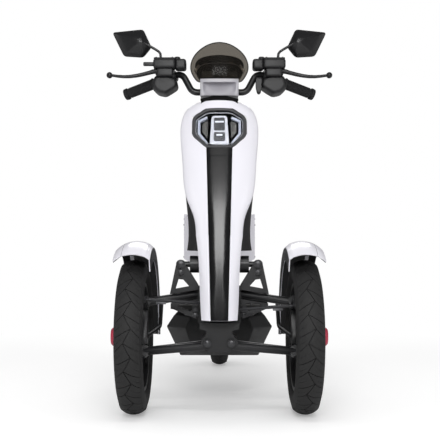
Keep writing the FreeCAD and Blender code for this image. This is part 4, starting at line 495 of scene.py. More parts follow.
# Chassis: welded steel tube and plate under black powder coat, with the head tube,
# both floor rails, the front beam and its plates in one piece.
frame_black = finish("frame_black", (0.007, 0.007, 0.008), 0.4, relief=(650, 0.14), rubbing=(0.38, 0.12))
dress(frame_black, "main_frame", "tilt_damper", "swing_arm", "rear_shocks", "steering_column")


def soften(form, edge, segments):
    """Rounds all the edges of a form."""
    bmesh.ops.bevel(form, geom=form.edges[:], offset=edge, segments=segments, profile=0.5, affect="EDGES",
                    material=-1)


def hex_bolt(spot, toward, radius):
    """A hexagon head on its washer."""
    height = radius * 0.7
    head = bmesh.new()
    bmesh.ops.create_cone(head, cap_ends=True, segments=6, radius1=radius, radius2=radius, depth=height)
    soften(head, radius * 0.07, 2)
    bmesh.ops.translate(head, verts=head.verts, vec=(0, 0, height / 2 + radius * 0.14))
    aim_form(head, spot, toward)
    washer = [(0, 0), (0, radius * 1.25), (radius * 0.15, radius * 1.25), (radius * 0.2, radius * 1.2),
              (radius * 0.2, 0)]
    return gather(head, turned_form(washer, spot, Vector(spot) + Vector(toward), 28))


BOLT_SINK = 0.0002
PIVOT_BOLTS = ((0.05, -0.5985, 0.357), (0.035, -0.7185, 0.216))
PIVOT_BOLT_RADIUS = 0.0095
pivot_heads = [hex_bolt((side * x, y + BOLT_SINK, z), (0, -1, 0), PIVOT_BOLT_RADIUS)
               for x, y, z in PIVOT_BOLTS for side in (-1, 1)]
make_piece("pivot_bolts", gather(*pivot_heads), "chassis", screw_steel)

# Wishbones: welded tubes with a forged eye at each outer end. A two-plate rocker stands on
# each upper one, in a lighter coat, with through bolts that hold its plates and the damper.
arm_black = finish("arm_black", (0.012, 0.012, 0.0135), 0.38, relief=(650, 0.12), rubbing=(0.36, 0.12))
dress(arm_black, "upper_arms", "lower_arms")
ROCKER_FRONT = -0.607
ROCKER_BOLTS = ((0.118, 0.447, 0.0112), (0.118, 0.422, 0.008), (0.074, 0.308, 0.0075), (0.074, 0.292, 0.0075))
rocker_heads = [hex_bolt((side * x, ROCKER_FRONT + BOLT_SINK, z), (0, -1, 0), radius)
                for side in (-1, 1) for x, z, radius in ROCKER_BOLTS]
make_piece("rocker_bolts", gather(*rocker_heads), "chassis", screw_steel)

# Knuckles: forged steel uprights under black coat, each in one piece with caliper and stub axle.
# A pleated rubber boot closes each ball joint between the arm's eye and the knuckle.
RAKE = math.radians(20)
KINGPIN_X = 0.225
FRONT_AXLE = (-0.645, 0.23)
boot_rubber = finish("boot_rubber", (0.008, 0.008, 0.008), 0.65, relief=(900, 0.15), rubbing=(0.65, 0.12, 30))
BOOT = [(0, 0.0074), (0, 0.0112), (0.0016, 0.0124), (0.003, 0.0102), (0.0044, 0.0118), (0.0058, 0.0098),
        (0.0072, 0.0108), (0.0084, 0.0074)]
BOOT_REACHES = ((0.0896, 0.06), (-0.0266, 0.01))


def on_kingpin(side, reach):
    """The place on a front wheel's steering axis at a reach above its axle."""
    y, z = FRONT_AXLE
    return Vector((side * KINGPIN_X, y + reach * math.sin(RAKE), z + reach * math.cos(RAKE)))


for side, name in SIDES:
    rounded_copy("knuckle_" + name, "steered_" + name, frame_black, 0.0012, 50)
    boots = [turned_form(BOOT, on_kingpin(side, start), on_kingpin(side, toward), 28)
             for start, toward in BOOT_REACHES]
    make_piece("joint_boots_" + name, gather(*boots), "steered_" + name, boot_rubber)

# Tie rods: slim steel rods with a black oxide finish. A zinc plated sleeve locks each one
# some way behind its outer eye.
SLEEVE_REACH = 0.066
SLEEVE = [(0, 0.0053), (0, 0.0075), (0.001, 0.008), (0.028, 0.008), (0.029, 0.0075), (0.029, 0.0053)]
rod_steel = finish("rod_steel", (0.035, 0.035, 0.038), 0.34, 0.5, relief=(800, 0.1), rubbing=(0.34, 0.14, 40))
rod_zinc = finish("rod_zinc", (0.3, 0.3, 0.32), 0.34, 0.7, relief=(900, 0.1), rubbing=(0.34, 0.14, 60))
dress(rod_steel, "tie_rod_left", "tie_rod_right")
for side, name in SIDES:
    low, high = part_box("tie_rod_" + name)
    inner_end = Vector((0, (low.y + high.y) / 2, (low.z + high.z) / 2))
    outer_end = inner_end + Vector((side * KINGPIN_X, 0, 0))
    start = outer_end - (outer_end - inner_end).normalized() * SLEEVE_REACH
    sleeve = turned_form(SLEEVE, start, outer_end, 24)
    make_piece("rod_sleeve_" + name, sleeve, "tie_rod_body_" + name, rod_zinc)

# Front fenders: crowned shells in glossy white, moulded with a wall down the inner side.
# A black liner covers the inside of each shell and both faces of its inner wall.
white_gloss = finish("white_gloss", (0.8, 0.79, 0.845), 0.34, relief=(160, 0.02), rubbing=(0.3, 0.08),
                     Coat_Weight=0.3, Coat_Roughness=0.12)
liner_black = finish("liner_black", (0.008, 0.008, 0.009), 0.55, relief=(900, 0.2), rubbing=(0.55, 0.12))
dress(white_gloss, "front_fender_left", "front_fender_right")
FENDER_SWEEP = math.radians(124)
FENDER_DROP = math.radians(3)
LINER_IN = [(-0.0525, 0.229), (-0.0525, 0.2665), (-0.0432, 0.2737), (-0.02, 0.2805), (0, 0.2822),
            (0.025, 0.2795), (0.0485, 0.2585), (0.0478, 0.2576), (0.0243, 0.2783), (0, 0.281),
            (-0.0203, 0.2793), (-0.0425, 0.2725), (-0.0513, 0.2657), (-0.0513, 0.229)]
LINER_OUT = [(-0.0563, 0.229), (-0.0563, 0.2655), (-0.0575, 0.2655), (-0.0575, 0.229)]


def swept_form(outline, center, side, start, sweep, steps=48):
    """A closed section swept round an axle, from the rear towards the top, with both ends closed."""
    form = bmesh.new()
    corners = [form.verts.new((side * x, radius, 0)) for x, radius in outline]
    face = form.faces.new(corners)
    bmesh.ops.spin(form, geom=[face], cent=(0, 0, 0), axis=(1, 0, 0), angle=sweep, steps=steps)
    bmesh.ops.holes_fill(form, edges=[edge for edge in form.edges if edge.is_boundary], sides=0)
    turn = Matrix.Rotation(start, 4, "X")
    bmesh.ops.transform(form, matrix=Matrix.Translation(center) @ turn, verts=form.verts)
    return form


for side, name in SIDES:
    hub = middle_of("front_tyre_" + name)
    forms = [swept_form(outline, hub, side, -FENDER_DROP, FENDER_SWEEP) for outline in (LINER_IN, LINER_OUT)]
    make_piece("fender_liner_" + name, gather(*forms), "steered_" + name, liner_black)

# Front shield and side panels: moulded panels, painted white under clear coat and clipped
# to the frame. The shield's foot is laid anew, with the stripe's bed let into its middle.
dress(white_gloss, "side_panels")
shield_black = finish("shield_black", (0.01, 0.01, 0.011), 0.5, relief=(1000, 0.22), rubbing=(0.5, 0.12))
dress(shield_black, "neck_collar", "leg_shield")
SHIELD_FOOT_Y = -0.765
SHIELD_FOOT_Z = 0.285
SHIELD_LEAN = math.tan(math.radians(26))
SHIELD_HALF = 0.125
FOOT_HALVES = ((0.285, 0.052), (0.371, 0.0575), (0.46, 0.0624), (0.534, 0.0711))
FOOT_TOP = 0.534
SHIELD_WALL = 0.003
BED_FOOT_HALF = 0.0252
BED_FLARE = 0.0299
BED_DEPTH = 0.0055
BED_STEP = 0.0003
CROWN_Z = 0.95
CROWN_DROP = 0.16


def shield_point(x, z, depth, half=SHIELD_HALF):
    """A point behind the shield's face by a depth, where the face is an arc across the vehicle."""
    bend = half * 1.25
    face = SHIELD_FOOT_Y + (z - SHIELD_FOOT_Z) * SHIELD_LEAN
    return Vector((x, face + bend - math.sqrt(bend ** 2 - x ** 2) + depth, z))


def smooth_through(pairs, at):
    """The value at a place of the smooth curve that goes through all the pairs."""
    total = 0
    for i, (place, number) in enumerate(pairs):
        share = 1
        for k, (other, _) in enumerate(pairs):
            if k != i:
                share *= (at - other) / (place - other)
        total += number * share
    return total


def thicken_back(form, wall):
    """Gives a sheet that faces the vehicle's front a wall behind its face."""
    bmesh.ops.recalc_face_normals(form, faces=form.faces)
    for face in form.faces:
        face.normal_update()
    if sum(face.normal.y * face.calc_area() for face in form.faces) > 0:
        bmesh.ops.reverse_faces(form, faces=form.faces)
    bmesh.ops.solidify(form, geom=form.faces[:], thickness=wall)
    return form


def join_rows(form, rows, rings=True):
    """Faces between rows of points, each of which closes into a ring or stays open."""
    for low, high in zip(rows, rows[1:]):
        for i in range(len(low) if rings else len(low) - 1):
            k = (i + 1) % len(low)
            form.faces.new((low[i], low[k], high[k], high[i]))


def shield_foot(rows=28, columns=6):
    """The lower part of the shield, with the bed of the stripe let into its middle."""
    form = bmesh.new()
    grid = []
    for i in range(rows + 1):
        z = SHIELD_FOOT_Z + (FOOT_TOP - SHIELD_FOOT_Z) * i / rows
        half = smooth_through(FOOT_HALVES, z)
        bed = BED_FOOT_HALF + (z - SHIELD_FOOT_Z) * BED_FLARE
        side = [(bed + (half - bed) * k / columns, 0) for k in range(columns + 1)]
        line = [(-x, depth) for x, depth in reversed(side)]
        line += [(x, BED_DEPTH) for x in (BED_STEP - bed, 0, bed - BED_STEP)] + side
        grid.append([form.verts.new(shield_point(x, z, depth, half)) for x, depth in line])
    join_rows(form, grid, False)
    return thicken_back(form, SHIELD_WALL)


def cut_level(form, z, clear_below=False):
    """Cuts a form at a height and gives back what the cut made."""
    everything = form.verts[:] + form.edges[:] + form.faces[:]
    return bmesh.ops.bisect_plane(form, geom=everything, plane_co=(0, 0, z), plane_no=(0, 0, 1),
                                  clear_inner=clear_below)["geom_cut"]


upper_shield = bmesh.new()
upper_shield.from_mesh(cad["front_shield"].data)
bmesh.ops.remove_doubles(upper_shield, verts=upper_shield.verts, dist=1e-5)
cut_level(upper_shield, FOOT_TOP, True)
for point in upper_shield.verts:
    if point.co.z > CROWN_Z:
        point.co.z -= (point.co.z - CROWN_Z) * CROWN_DROP
shield_form = gather(upper_shield, shield_foot())
shield = make_piece("shield_panel", shield_form, "chassis", white_gloss)
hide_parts("front_shield")

# Cover round the handlebar clamp: a moulded white panel, with a lip along the top of
# the front and a scoop under it that fades out downwards. Its white is painted a dark grey, as painted shade
# under the visor.
# A black band closes the gap below.
COVER_LOW = (-0.0632, -0.4065, 1.0015)
COVER_HIGH = (0.0632, -0.256, 1.0575)
SCOOP_LIP_Z = 1.0445
SCOOP_HALF = 0.054
SCOOP_DEPTH = 0.017
COVER_BOW = 0.9
COVER_TAPER = 0.94
# The cover's white is painted a dark grey: painted shade for the shadow under the visor.
cover_painted_shade = finish("cover_painted_shade", (0.25, 0.243, 0.27), 0.36, relief=(160, 0.02), rubbing=(0.36, 0.08),
                     Coat_Weight=0.2, Coat_Roughness=0.15)


def scooped_face(x, z):
    """How far the cover's front lies back at a point."""
    if abs(x) >= SCOOP_HALF or z >= SCOOP_LIP_Z:
        return 0
    rise = (z - COVER_LOW[2]) / (SCOOP_LIP_Z - COVER_LOW[2])
    return SCOOP_DEPTH * rise ** 1.3 * (1 - (x / SCOOP_HALF) ** 2) ** 0.6


def cover_form(columns=40, rows=28):
    form = bmesh.new()
    bmesh.ops.create_grid(form, x_segments=columns, y_segments=rows, size=0.5)
    for point in form.verts:
        x = COVER_LOW[0] + (COVER_HIGH[0] - COVER_LOW[0]) * (point.co.x + 0.5)
        z = COVER_LOW[2] + (COVER_HIGH[2] - COVER_LOW[2]) * (point.co.y + 0.5)
        point.co = (x, COVER_LOW[1] + scooped_face(x, z) + COVER_BOW * x * x, z)
    rim = [edge for edge in form.edges if edge.is_boundary]
    sides = bmesh.ops.extrude_edge_only(form, edges=rim)["geom"]
    for point in sides:
        if isinstance(point, bmesh.types.BMVert):
            point.co.x *= COVER_TAPER
            point.co.y = COVER_HIGH[1]
    bmesh.ops.holes_fill(form, edges=[edge for edge in form.edges if edge.is_boundary], sides=0)
    return form


cover = make_piece("clamp_cover", cover_form(), "steering", cover_painted_shade, 60)
round_edges(cover, 0.0035, 50, 3, False)
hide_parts("head_cover")

# Near-black with weak reflection, darker than the collar's own black: painted shade for the gap between the
# cover and the shield.
gap_painted_shade = finish("gap_painted_shade", (0.0015, 0.0015, 0.0018), 0.8, relief=(900, 0.1), rubbing=(0.7, 0.1),
                   Specular_IOR_Level=0.15)
BAND_OUTLINE = ((-0.0605, 0.96), (0.0605, 0.96), (0.0605, 0.99), (0.02, 1.0), (-0.02, 1.0), (-0.0605, 0.99))
BAND_FRONT = -0.408
BAND_DEPTH = 0.03
form = bmesh.new()
form.faces.new([form.verts.new((x, BAND_FRONT, z)) for x, z in BAND_OUTLINE])
bmesh.ops.recalc_face_normals(form, faces=form.faces)
bmesh.ops.solidify(form, geom=form.faces[:], thickness=BAND_DEPTH)
for point in form.verts:
    point.co.y = BAND_FRONT + abs(point.co.y - BAND_FRONT)
soften(form, 0.002, 2)
make_piece("neck_band", form, "chassis", gap_painted_shade)

# Center stripe: a glossy black strip let into the shield, in two lengths with a seam
# between them, below the headlamp.
STRIPE_SEAM_Z = 0.789
black_gloss = finish("black_gloss", (0.002, 0.002, 0.0024), 0.16, relief=(120, 0.01), rubbing=(0.17, 0.05),
                     Coat_Weight=0.3, Coat_Roughness=0.1)
dress(black_gloss, "center_stripe")


def bent_plate(outline, depth, wall, columns=10, rows=6):
    """A plate between two edges, left and right at several heights, laid along the shield's face."""
    form = bmesh.new()
    bmesh.ops.create_grid(form, x_segments=columns, y_segments=rows, size=0.5)
    low, high = outline
    for point in form.verts:
        across, up = point.co.x + 0.5, point.co.y + 0.5
        left = low[0] + (high[0] - low[0]) * up
        right = low[1] + (high[1] - low[1]) * up
        z = low[2] + (high[2] - low[2]) * up
        point.co = shield_point(left + (right - left) * across, z, depth)
    return thicken_back(form, wall)


stripe_top = bent_plate(((-0.0398, 0.0398, STRIPE_SEAM_Z), (-0.0408, 0.0408, 0.8135)), -0.0034, 0.0012)
make_piece("stripe_upper_length", stripe_top, "chassis", black_gloss)

# Headlamp: a dark grey bezel round a clear lens. Inside stand a chromed tower with two
# rows of light diodes in a black window, a frosted light guide down each side, and dark lenses.
bezel_grey = finish("bezel_grey", (0.055, 0.055, 0.058), 0.42, relief=(900, 0.12), rubbing=(0.42, 0.1))
BEZEL_Z = 0.883
BEZEL_OUTLINE = ((0, 0.955), (0.043, 0.954), (0.088, 0.927), (0.0895, 0.894), (0.0885, 0.86),
                 (0.0425, 0.8155), (0, 0.815))
BEZEL_RINGS = ((0.03, 0.985), (0.0, 1.0), (-0.003, 0.975), (-0.0036, 0.94), (-0.002, 0.885), (0.002, 0.865),
               (0.03, 0.86))


def both_sides(half_outline):
    """The closed outline of a form whose right half goes from its top to its foot."""
    return list(half_outline) + [(-x, z) for x, z in reversed(half_outline[1:-1])]


def rounded_line(points, reach, steps=4):
    """A closed line whose corners are rounded, each from a reach before it to a reach after it."""
    line = []
    for i, point in enumerate(points):
        corner = Vector(point)
        before, after = Vector(points[i - 1]) - corner, Vector(points[(i + 1) % len(points)]) - corner
        start = corner + before * min(reach / before.length, 0.45)
        stop = corner + after * min(reach / after.length, 0.45)
        for k in range(steps + 1):
            t = k / steps
            line.append(tuple(start * (1 - t) ** 2 + corner * 2 * t * (1 - t) + stop * t ** 2))
    return line


bezel_line = rounded_line(both_sides(BEZEL_OUTLINE), 0.014)
bezel_form = bmesh.new()
rings = [[bezel_form.verts.new(shield_point(x * share, BEZEL_Z + (z - BEZEL_Z) * share, depth))
          for x, z in bezel_line] for depth, share in BEZEL_RINGS]
join_rows(bezel_form, rings + rings[:1])
bezel = make_piece("lamp_bezel", bezel_form, "chassis", bezel_grey, 50)
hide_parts("headlamp_housing")
lamp_clear = finish("lamp_clear", (0.93, 0.94, 0.96), 0.03, Transmission_Weight=1.0, IOR=1.15)
dress(lamp_clear, "headlamp_lens")
lamp_chrome = finish("lamp_chrome", (0.66, 0.67, 0.71), 0.26, 0.5, relief=(300, 0.02), rubbing=(0.24, 0.08))
guide_frost = finish("guide_frost", (0.5, 0.53, 0.62), 0.35, relief=(500, 0.1), rubbing=(0.35, 0.1, 40),
                     Coat_Weight=0.3)
lamp_dark = finish("lamp_dark", (0.03, 0.032, 0.036), 0.3, relief=(400, 0.05), rubbing=(0.3, 0.1, 30),
                   Coat_Weight=0.4)
diode_white = finish("diode_white", (0.78, 0.8, 0.86), 0.25, relief=(900, 0.08), rubbing=(0.25, 0.1, 60),
                     Coat_Weight=0.5)

BACK_WIDTH = 0.15
BACK_HEIGHT = 0.112
BACK_Y = -0.4135
BACK_Z = 0.8865
back = bmesh.new()
bmesh.ops.create_grid(back, x_segments=1, y_segments=1, size=0.5)
for point in back.verts:
    point.co = (point.co.x * BACK_WIDTH, BACK_Y, BACK_Z + point.co.y * BACK_HEIGHT)
bmesh.ops.solidify(back, geom=back.faces[:], thickness=0.0015)
make_piece("lamp_back_wall", back, "chassis", lamp_dark)


def drawn_in(line, middle, share):
    """The points of a flat line, drawn in towards its middle."""
    for x, z in line:
        yield middle[0] + (x - middle[0]) * share, middle[1] + (z - middle[1]) * share


def shield_plate(line, depth, wall):
    """A plate with a closed outline of (x, z), laid along the shield's face at a depth."""
    form = bmesh.new()
    middle = (sum(x for x, _ in line) / len(line), sum(z for _, z in line) / len(line))
    rings = [[form.verts.new(shield_point(x, z, depth)) for x, z in drawn_in(line, middle, share)]
             for share in (0.3, 0.65, 1.0)]
    form.faces.new(rings[0])
    join_rows(form, rings)
    return thicken_back(form, wall)


def corners(half_low, low, half_high, high, reach):
    return rounded_line([(-half_high, high), (half_high, high), (half_low, low), (-half_low, low)], reach)


def tube_form(points, radius, sides=10, closed=False):
    """A round tube along points, of one radius or one for each point, closed on itself or at its ends."""
    form = bmesh.new()
    rings = []
    count = len(points)
    radii = radius if isinstance(radius, (list, tuple)) else [radius] * count
    for i, point in enumerate(points):
        before = points[i - 1] if i or closed else point
        after = points[(i + 1) % count] if i < count - 1 or closed else point
        turn = (Vector(after) - Vector(before)).to_track_quat("Z", "Y").to_matrix()
        rings.append([form.verts.new(Vector(point) + turn @ Vector((radii[i] * math.cos(angle),
                                                                    radii[i] * math.sin(angle), 0)))
                      for angle in (2 * math.pi * k / sides for k in range(sides))])
    if closed:
        join_rows(form, rings + rings[:1])
        return form
    join_rows(form, rings)
    form.faces.new(rings[0])
    form.faces.new(rings[-1])
    return form


tower = make_piece("lamp_tower", shield_plate(corners(0.0307, 0.8275, 0.0248, 0.928, 0.01), 0.0085, 0.008),
                   "chassis", lamp_chrome)
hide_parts("headlamp_reflector")
cells = [shield_plate(corners(0.0178, 0.8765, 0.0172, 0.9215, 0.006), 0.0072, 0.0016),
         shield_plate(corners(0.0188, 0.84, 0.0182, 0.8705, 0.006), 0.0072, 0.0016)]
make_piece("lamp_window", gather(*cells), "chassis", lamp_dark)
diodes = [shield_plate(corners(0.0143, 0.904, 0.0143, 0.9096, 0.0018), 0.006, 0.0014),
          shield_plate(corners(0.0095, 0.8578, 0.0095, 0.8634, 0.0018), 0.006, 0.0014)]
make_piece("lamp_diodes", gather(*diodes), "chassis", diode_white)
RIM_LINE = [(-0.0385, 0.9375), (0.0385, 0.9375), (0.0755, 0.915), (0.0755, 0.866), (0.0385, 0.83),
            (-0.0385, 0.83), (-0.0755, 0.866), (-0.0755, 0.915)]
rim = [shield_point(x, z, 0.006) for x, z in rounded_line(RIM_LINE, 0.01)]
make_piece("lamp_rim_line", tube_form(rim, 0.001, 8, True), "chassis", lamp_chrome)
GUIDE_WALL = 0.006
GUIDE_DEPTH = 0.01
GUIDE_LINE = ((0.04, 0.9265), (0.0695, 0.9145), (0.0695, 0.8665), (0.0395, 0.8285))
GUIDE_INNER = ((0.0385, 0.919), (0.0625, 0.909), (0.0625, 0.8695), (0.0378, 0.8365))
guides = []
for side in (-1, 1):
    form = bmesh.new()
    outer = [form.verts.new((side * x, 0, z)) for x, z in GUIDE_LINE]
    inner = [form.verts.new((side * x, 0, z)) for x, z in GUIDE_INNER]
    for i in range(3):
        form.faces.new((outer[i], outer[i + 1], inner[i + 1], inner[i]))
    bmesh.ops.subdivide_edges(form, edges=form.edges[:], cuts=3, use_grid_fill=True)
    for point in form.verts:
        point.co = shield_point(point.co.x, point.co.z, GUIDE_DEPTH)
    guides.append(thicken_back(form, GUIDE_WALL))
make_piece("lamp_light_guides", gather(*guides), "chassis", guide_frost)
LENS_OUTLINE = ((0.0365, 0.912), (0.0545, 0.904), (0.055, 0.874), (0.0385, 0.85))
lenses = [shield_plate(rounded_line([(side * x, z) for x, z in LENS_OUTLINE], 0.006), 0.015, 0.004)
          for side in (-1, 1)]
lens_olive = finish("lens_olive", (0.085, 0.083, 0.075), 0.3, relief=(400, 0.05), rubbing=(0.3, 0.1, 30),
                    Coat_Weight=0.3)
make_piece("lamp_side_lenses", gather(*lenses), "chassis", lens_olive)

# Instrument: a black moulded case on a post, with a flat glass display towards the rider
# and two grey panels on its front, seen through the visor.
case_black = finish("case_black", (0.009, 0.009, 0.0095), 0.5, relief=(1100, 0.25), rubbing=(0.5, 0.12))
panel_grey = finish("panel_grey", (0.22, 0.22, 0.225), 0.4, relief=(900, 0.1), rubbing=(0.4, 0.1))
display_glass = finish("display_glass", (0.012, 0.014, 0.018), 0.06, rubbing=(0.07, 0.04, 20),
                       Coat_Weight=1.0, Coat_Roughness=0.03)
INSTRUMENT_OUTLINE = ((0, 1.1557), (0.02, 1.154), (0.0405, 1.1515), (0.06, 1.1465), (0.074, 1.1385),
                      (0.082, 1.126), (0.0825, 1.112), (0.079, 1.097), (0.072, 1.083), (0.061, 1.073),
                      (0.04, 1.068), (0, 1.067))


END_SHARE = 0.8


def layered_form(outline, layers, middle):
    """A closed form of rings: each layer is (y, share), the outline drawn in towards a middle point."""
    form = bmesh.new()
    (first_y, first), (last_y, last) = layers[0], layers[-1]
    rings = [[form.verts.new((x, y, z)) for x, z in drawn_in(outline, middle, share)]
             for y, share in ((first_y, first * END_SHARE), *layers, (last_y, last * END_SHARE))]
    join_rows(form, rings)
    form.faces.new(rings[0])
    form.faces.new(rings[-1])
    return form


def soft_block(low, high, edge=0.001, segments=3):
    """A box between two corners with rounded edges."""
    form = bmesh.new()
    bmesh.ops.create_cube(form, size=1)
    low, high = Vector(low), Vector(high)
    for point in form.verts:
        point.co = Vector([a + (b - a) * (share + 0.5) for a, b, share in zip(low, high, point.co)])
    soften(form, edge, segments)
    return form


shell_line = rounded_line(both_sides(INSTRUMENT_OUTLINE), 0.01, 2)
shell_layers = ((-0.2762, 0.9), (-0.279, 0.97), (-0.285, 1.0), (-0.323, 1.0), (-0.329, 0.98), (-0.332, 0.93))
shell_form = layered_form(shell_line, shell_layers, (0, 1.11))
shell = make_piece("instrument_shell", shell_form, "steering", case_black, 50)
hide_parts("instrument")
panels = [soft_block((x, -0.335, 1.076), (x + 0.041, -0.329, 1.0975), 0.002) for x in (-0.06, 0.019)]
stand = [soft_block((-0.0235, -0.338, 1.053), (0.0235, -0.29, 1.076), 0.004),
         soft_block((-0.014, -0.34, 1.074), (0.014, -0.33, 1.116), 0.004)]
make_piece("instrument_stand", gather(*stand), "steering", case_black)
BROW_HALF = ((0.025, 1.1252), (0.05, 1.1225), (0.064, 1.1155), (0.074, 1.104), (0.0815, 1.09))
BROW = [(-x, z) for x, z in reversed(BROW_HALF)] + [(0, 1.126), *BROW_HALF]
brow_bright = finish("brow_bright", (0.62, 0.61, 0.64), 0.3, 0.5, relief=(900, 0.05), rubbing=(0.3, 0.1, 40))
brow = tube_form([(x, -0.333, z) for x, z in BROW], 0.0013, 8)
PAD_OUTLINE = ((0.064, 1.1205), (0.0735, 1.1195), (0.086, 1.0985), (0.0775, 1.0935))
PAD_LAYERS = ((-0.33, 1.0), (-0.3355, 1.0), (-0.337, 0.9))
pads = [layered_form(rounded_line([(side * x, z) for x, z in PAD_OUTLINE], 0.004), PAD_LAYERS,
                     (side * 0.0752, 1.108)) for side in (-1, 1)]
make_piece("instrument_trim", gather(brow, *pads), "steering", brow_bright)
make_piece("instrument_front_panels", gather(*panels), "steering", panel_grey)
display = soft_block((-0.054, -0.2905, 1.084), (0.054, -0.2885, 1.132), 0.0009)
make_piece("instrument_display", display, "steering", display_glass)
strips = [soft_block((-0.06, -0.2905, low), (0.06, -0.2875, high), 0.0009)
          for low, high in ((1.0795, 1.0835), (1.1325, 1.1365))]
make_piece("instrument_bezel", gather(*strips), "steering", panel_grey)

# Visor: a thin smoked screen, moulded in one curve and fixed in front of the instrument,
# with a black edging all round it.
screen_smoke = finish("screen_smoke", (0.15, 0.137, 0.118), 0.12, Transmission_Weight=0.96, IOR=1.15)
VISOR_OUTLINE = ((0, 1.19), (0.027, 1.186), (0.0475, 1.1775), (0.065, 1.166), (0.079, 1.153), (0.089, 1.138),
                 (0.095, 1.122), (0.097, 1.106), (0.095, 1.091), (0.09, 1.078), (0.0835, 1.0655),
                 (0.074, 1.052), (0.06, 1.0475), (0, 1.0465))
VISOR_WALL = 0.003
VISOR_COLUMNS = 24
VISOR_FRONT = -0.4045
VISOR_LEAN = 0.046
VISOR_WRAP = 3.4
visor_line = rounded_line(both_sides(VISOR_OUTLINE), 0.01, 2)


def visor_point(x, z, back=0.0):
    """A point of the screen, which leans back as it rises and wraps back at both sides."""
    rise = (z - VISOR_OUTLINE[-1][1]) / (VISOR_OUTLINE[0][1] - VISOR_OUTLINE[-1][1])
    return Vector((x, VISOR_FRONT + VISOR_LEAN * rise ** 1.4 + VISOR_WRAP * x * x + back, z))


visor_form = bmesh.new()
visor_rows = []
for half, z in sorted([(x, z) for x, z in visor_line if x > 0.001], key=lambda spot: -spot[1]):
    visor_rows.append([visor_form.verts.new(visor_point(half * (2 * k / VISOR_COLUMNS - 1), z))
                       for k in range(VISOR_COLUMNS + 1)])
join_rows(visor_form, visor_rows, False)
bmesh.ops.recalc_face_normals(visor_form, faces=visor_form.faces)
bmesh.ops.solidify(visor_form, geom=visor_form.faces[:], thickness=VISOR_WALL)
visor = make_piece("visor_screen", visor_form, "steering", screen_smoke, 50)
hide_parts("visor")
edge_line = [visor_point(x * 0.992, 1.11 + (z - 1.11) * 0.992, VISOR_WALL / 2) for x, z in visor_line]
visor_edge = finish("visor_edge", (0.012, 0.0115, 0.01), 0.35, relief=(900, 0.08), rubbing=(0.35, 0.1, 40))
make_piece("visor_edging", tube_form(edge_line, 0.0019, 8, True), "steering", visor_edge)

# Handlebar and grips: black coated tube with a clamped middle. Each grip is ribbed
# rubber, moulded with a flange at both ends and pushed on to the tube.
BAR = Vector((0, -0.3, 1.034))
BAR_BEND = BAR + Vector((0.128, 0.008, 0.068))
BAR_TIP = BAR + Vector((0.33, 0.078, 0.007))
bar_black = finish("bar_black", (0.007, 0.007, 0.0075), 0.3, relief=(700, 0.08), rubbing=(0.34, 0.1),
                   Coat_Weight=0.1)
grip_rubber = finish("grip_rubber", (0.01, 0.01, 0.011), 0.8, relief=(1300, 0.35), rubbing=(0.78, 0.12, 20))
dress(bar_black, "handlebar")
dress(grip_rubber, "grips")
RIB_PITCH = 0.0052
RIB_COUNT = 17


def on_bar(side, share):
    spot = BAR_BEND + (BAR_TIP - BAR_BEND) * share
    return Vector((side * spot.x, spot.y, spot.z))


grip_line = [(0, 0.0165)]
for i in range(RIB_COUNT):
    base = 0.001 + i * RIB_PITCH
    grip_line += [(base, 0.0166), (base + 0.0008, 0.018), (base + 0.003, 0.018), (base + 0.0038, 0.0166)]
grip_line.append((RIB_COUNT * RIB_PITCH + 0.001, 0.0165))
GRIP_END = [(0, 0), (0, 0.0175), (0.003, 0.0195), (0.005, 0.0185), (0.0065, 0.012), (0.0065, 0)]
grip_forms = []
for side in (-1, 1):
    grip_forms.append(turned_form(grip_line, on_bar(side, 0.51), on_bar(side, 1), 36))
    grip_forms.append(turned_form(GRIP_END, on_bar(side, 0.971), on_bar(side, 1.2), 36))
make_piece("grip_ribs", gather(*grip_forms), "steering", grip_rubber)

# Hand controls: a moulded switch housing on each side of the bar with rubber buttons, and
# a master cylinder with a screwed reservoir lid. The levers are forged alloy in black, with
# a ball at each tip.
control_black = finish("control_black", (0.008, 0.008, 0.009), 0.44, relief=(1000, 0.2), rubbing=(0.46, 0.12))
lever_black = finish("lever_black", (0.01, 0.01, 0.011), 0.34, 0.2, relief=(700, 0.08),
                     rubbing=(0.34, 0.12))
button_grey = finish("button_grey", (0.13, 0.13, 0.135), 0.5, relief=(900, 0.15), rubbing=(0.5, 0.1, 40))
button_red = finish("button_red", (0.45, 0.03, 0.02), 0.4, relief=(900, 0.12), rubbing=(0.4, 0.1, 40))
SWITCH_OUTLINE = ((0.2308, 1.0511), (0.229, 1.07), (0.218, 1.0885), (0.2, 1.0935), (0.17, 1.09),
                  (0.144, 1.074), (0.1397, 1.052), (0.16, 1.038), (0.1828, 1.0245), (0.2102, 1.03))
SWITCH_LAYERS = ((-0.326, 0.78), (-0.3235, 0.88), (-0.316, 0.965), (-0.306, 1.0), (-0.266, 1.0),
                 (-0.254, 0.965), (-0.247, 0.88), (-0.2445, 0.78))
THUMB_OUTLINE = ((0.123, 1.085), (0.146, 1.085), (0.145, 1.05), (0.1395, 1.027), (0.129, 1.027),
                 (0.1235, 1.05))
LEVER_LINE = ((0.196, 1.096), (0.21, 1.0985), (0.224, 1.096), (0.2361, 1.0915), (0.2606, 1.0838),
              (0.28, 1.079), (0.3, 1.0765), (0.32, 1.076), (0.34, 1.0775), (0.358, 1.08))
LEVER_Y = -0.33
LEVER_FORWARD = 0.02
LEVER_RADII = (0.0075, 0.0085, 0.0078, 0.007, 0.0066, 0.0062, 0.0058, 0.0054, 0.005, 0.0046)
BALL_RADIUS = 0.0105
BALL_X = 0.368
BALL_Z = 1.0809
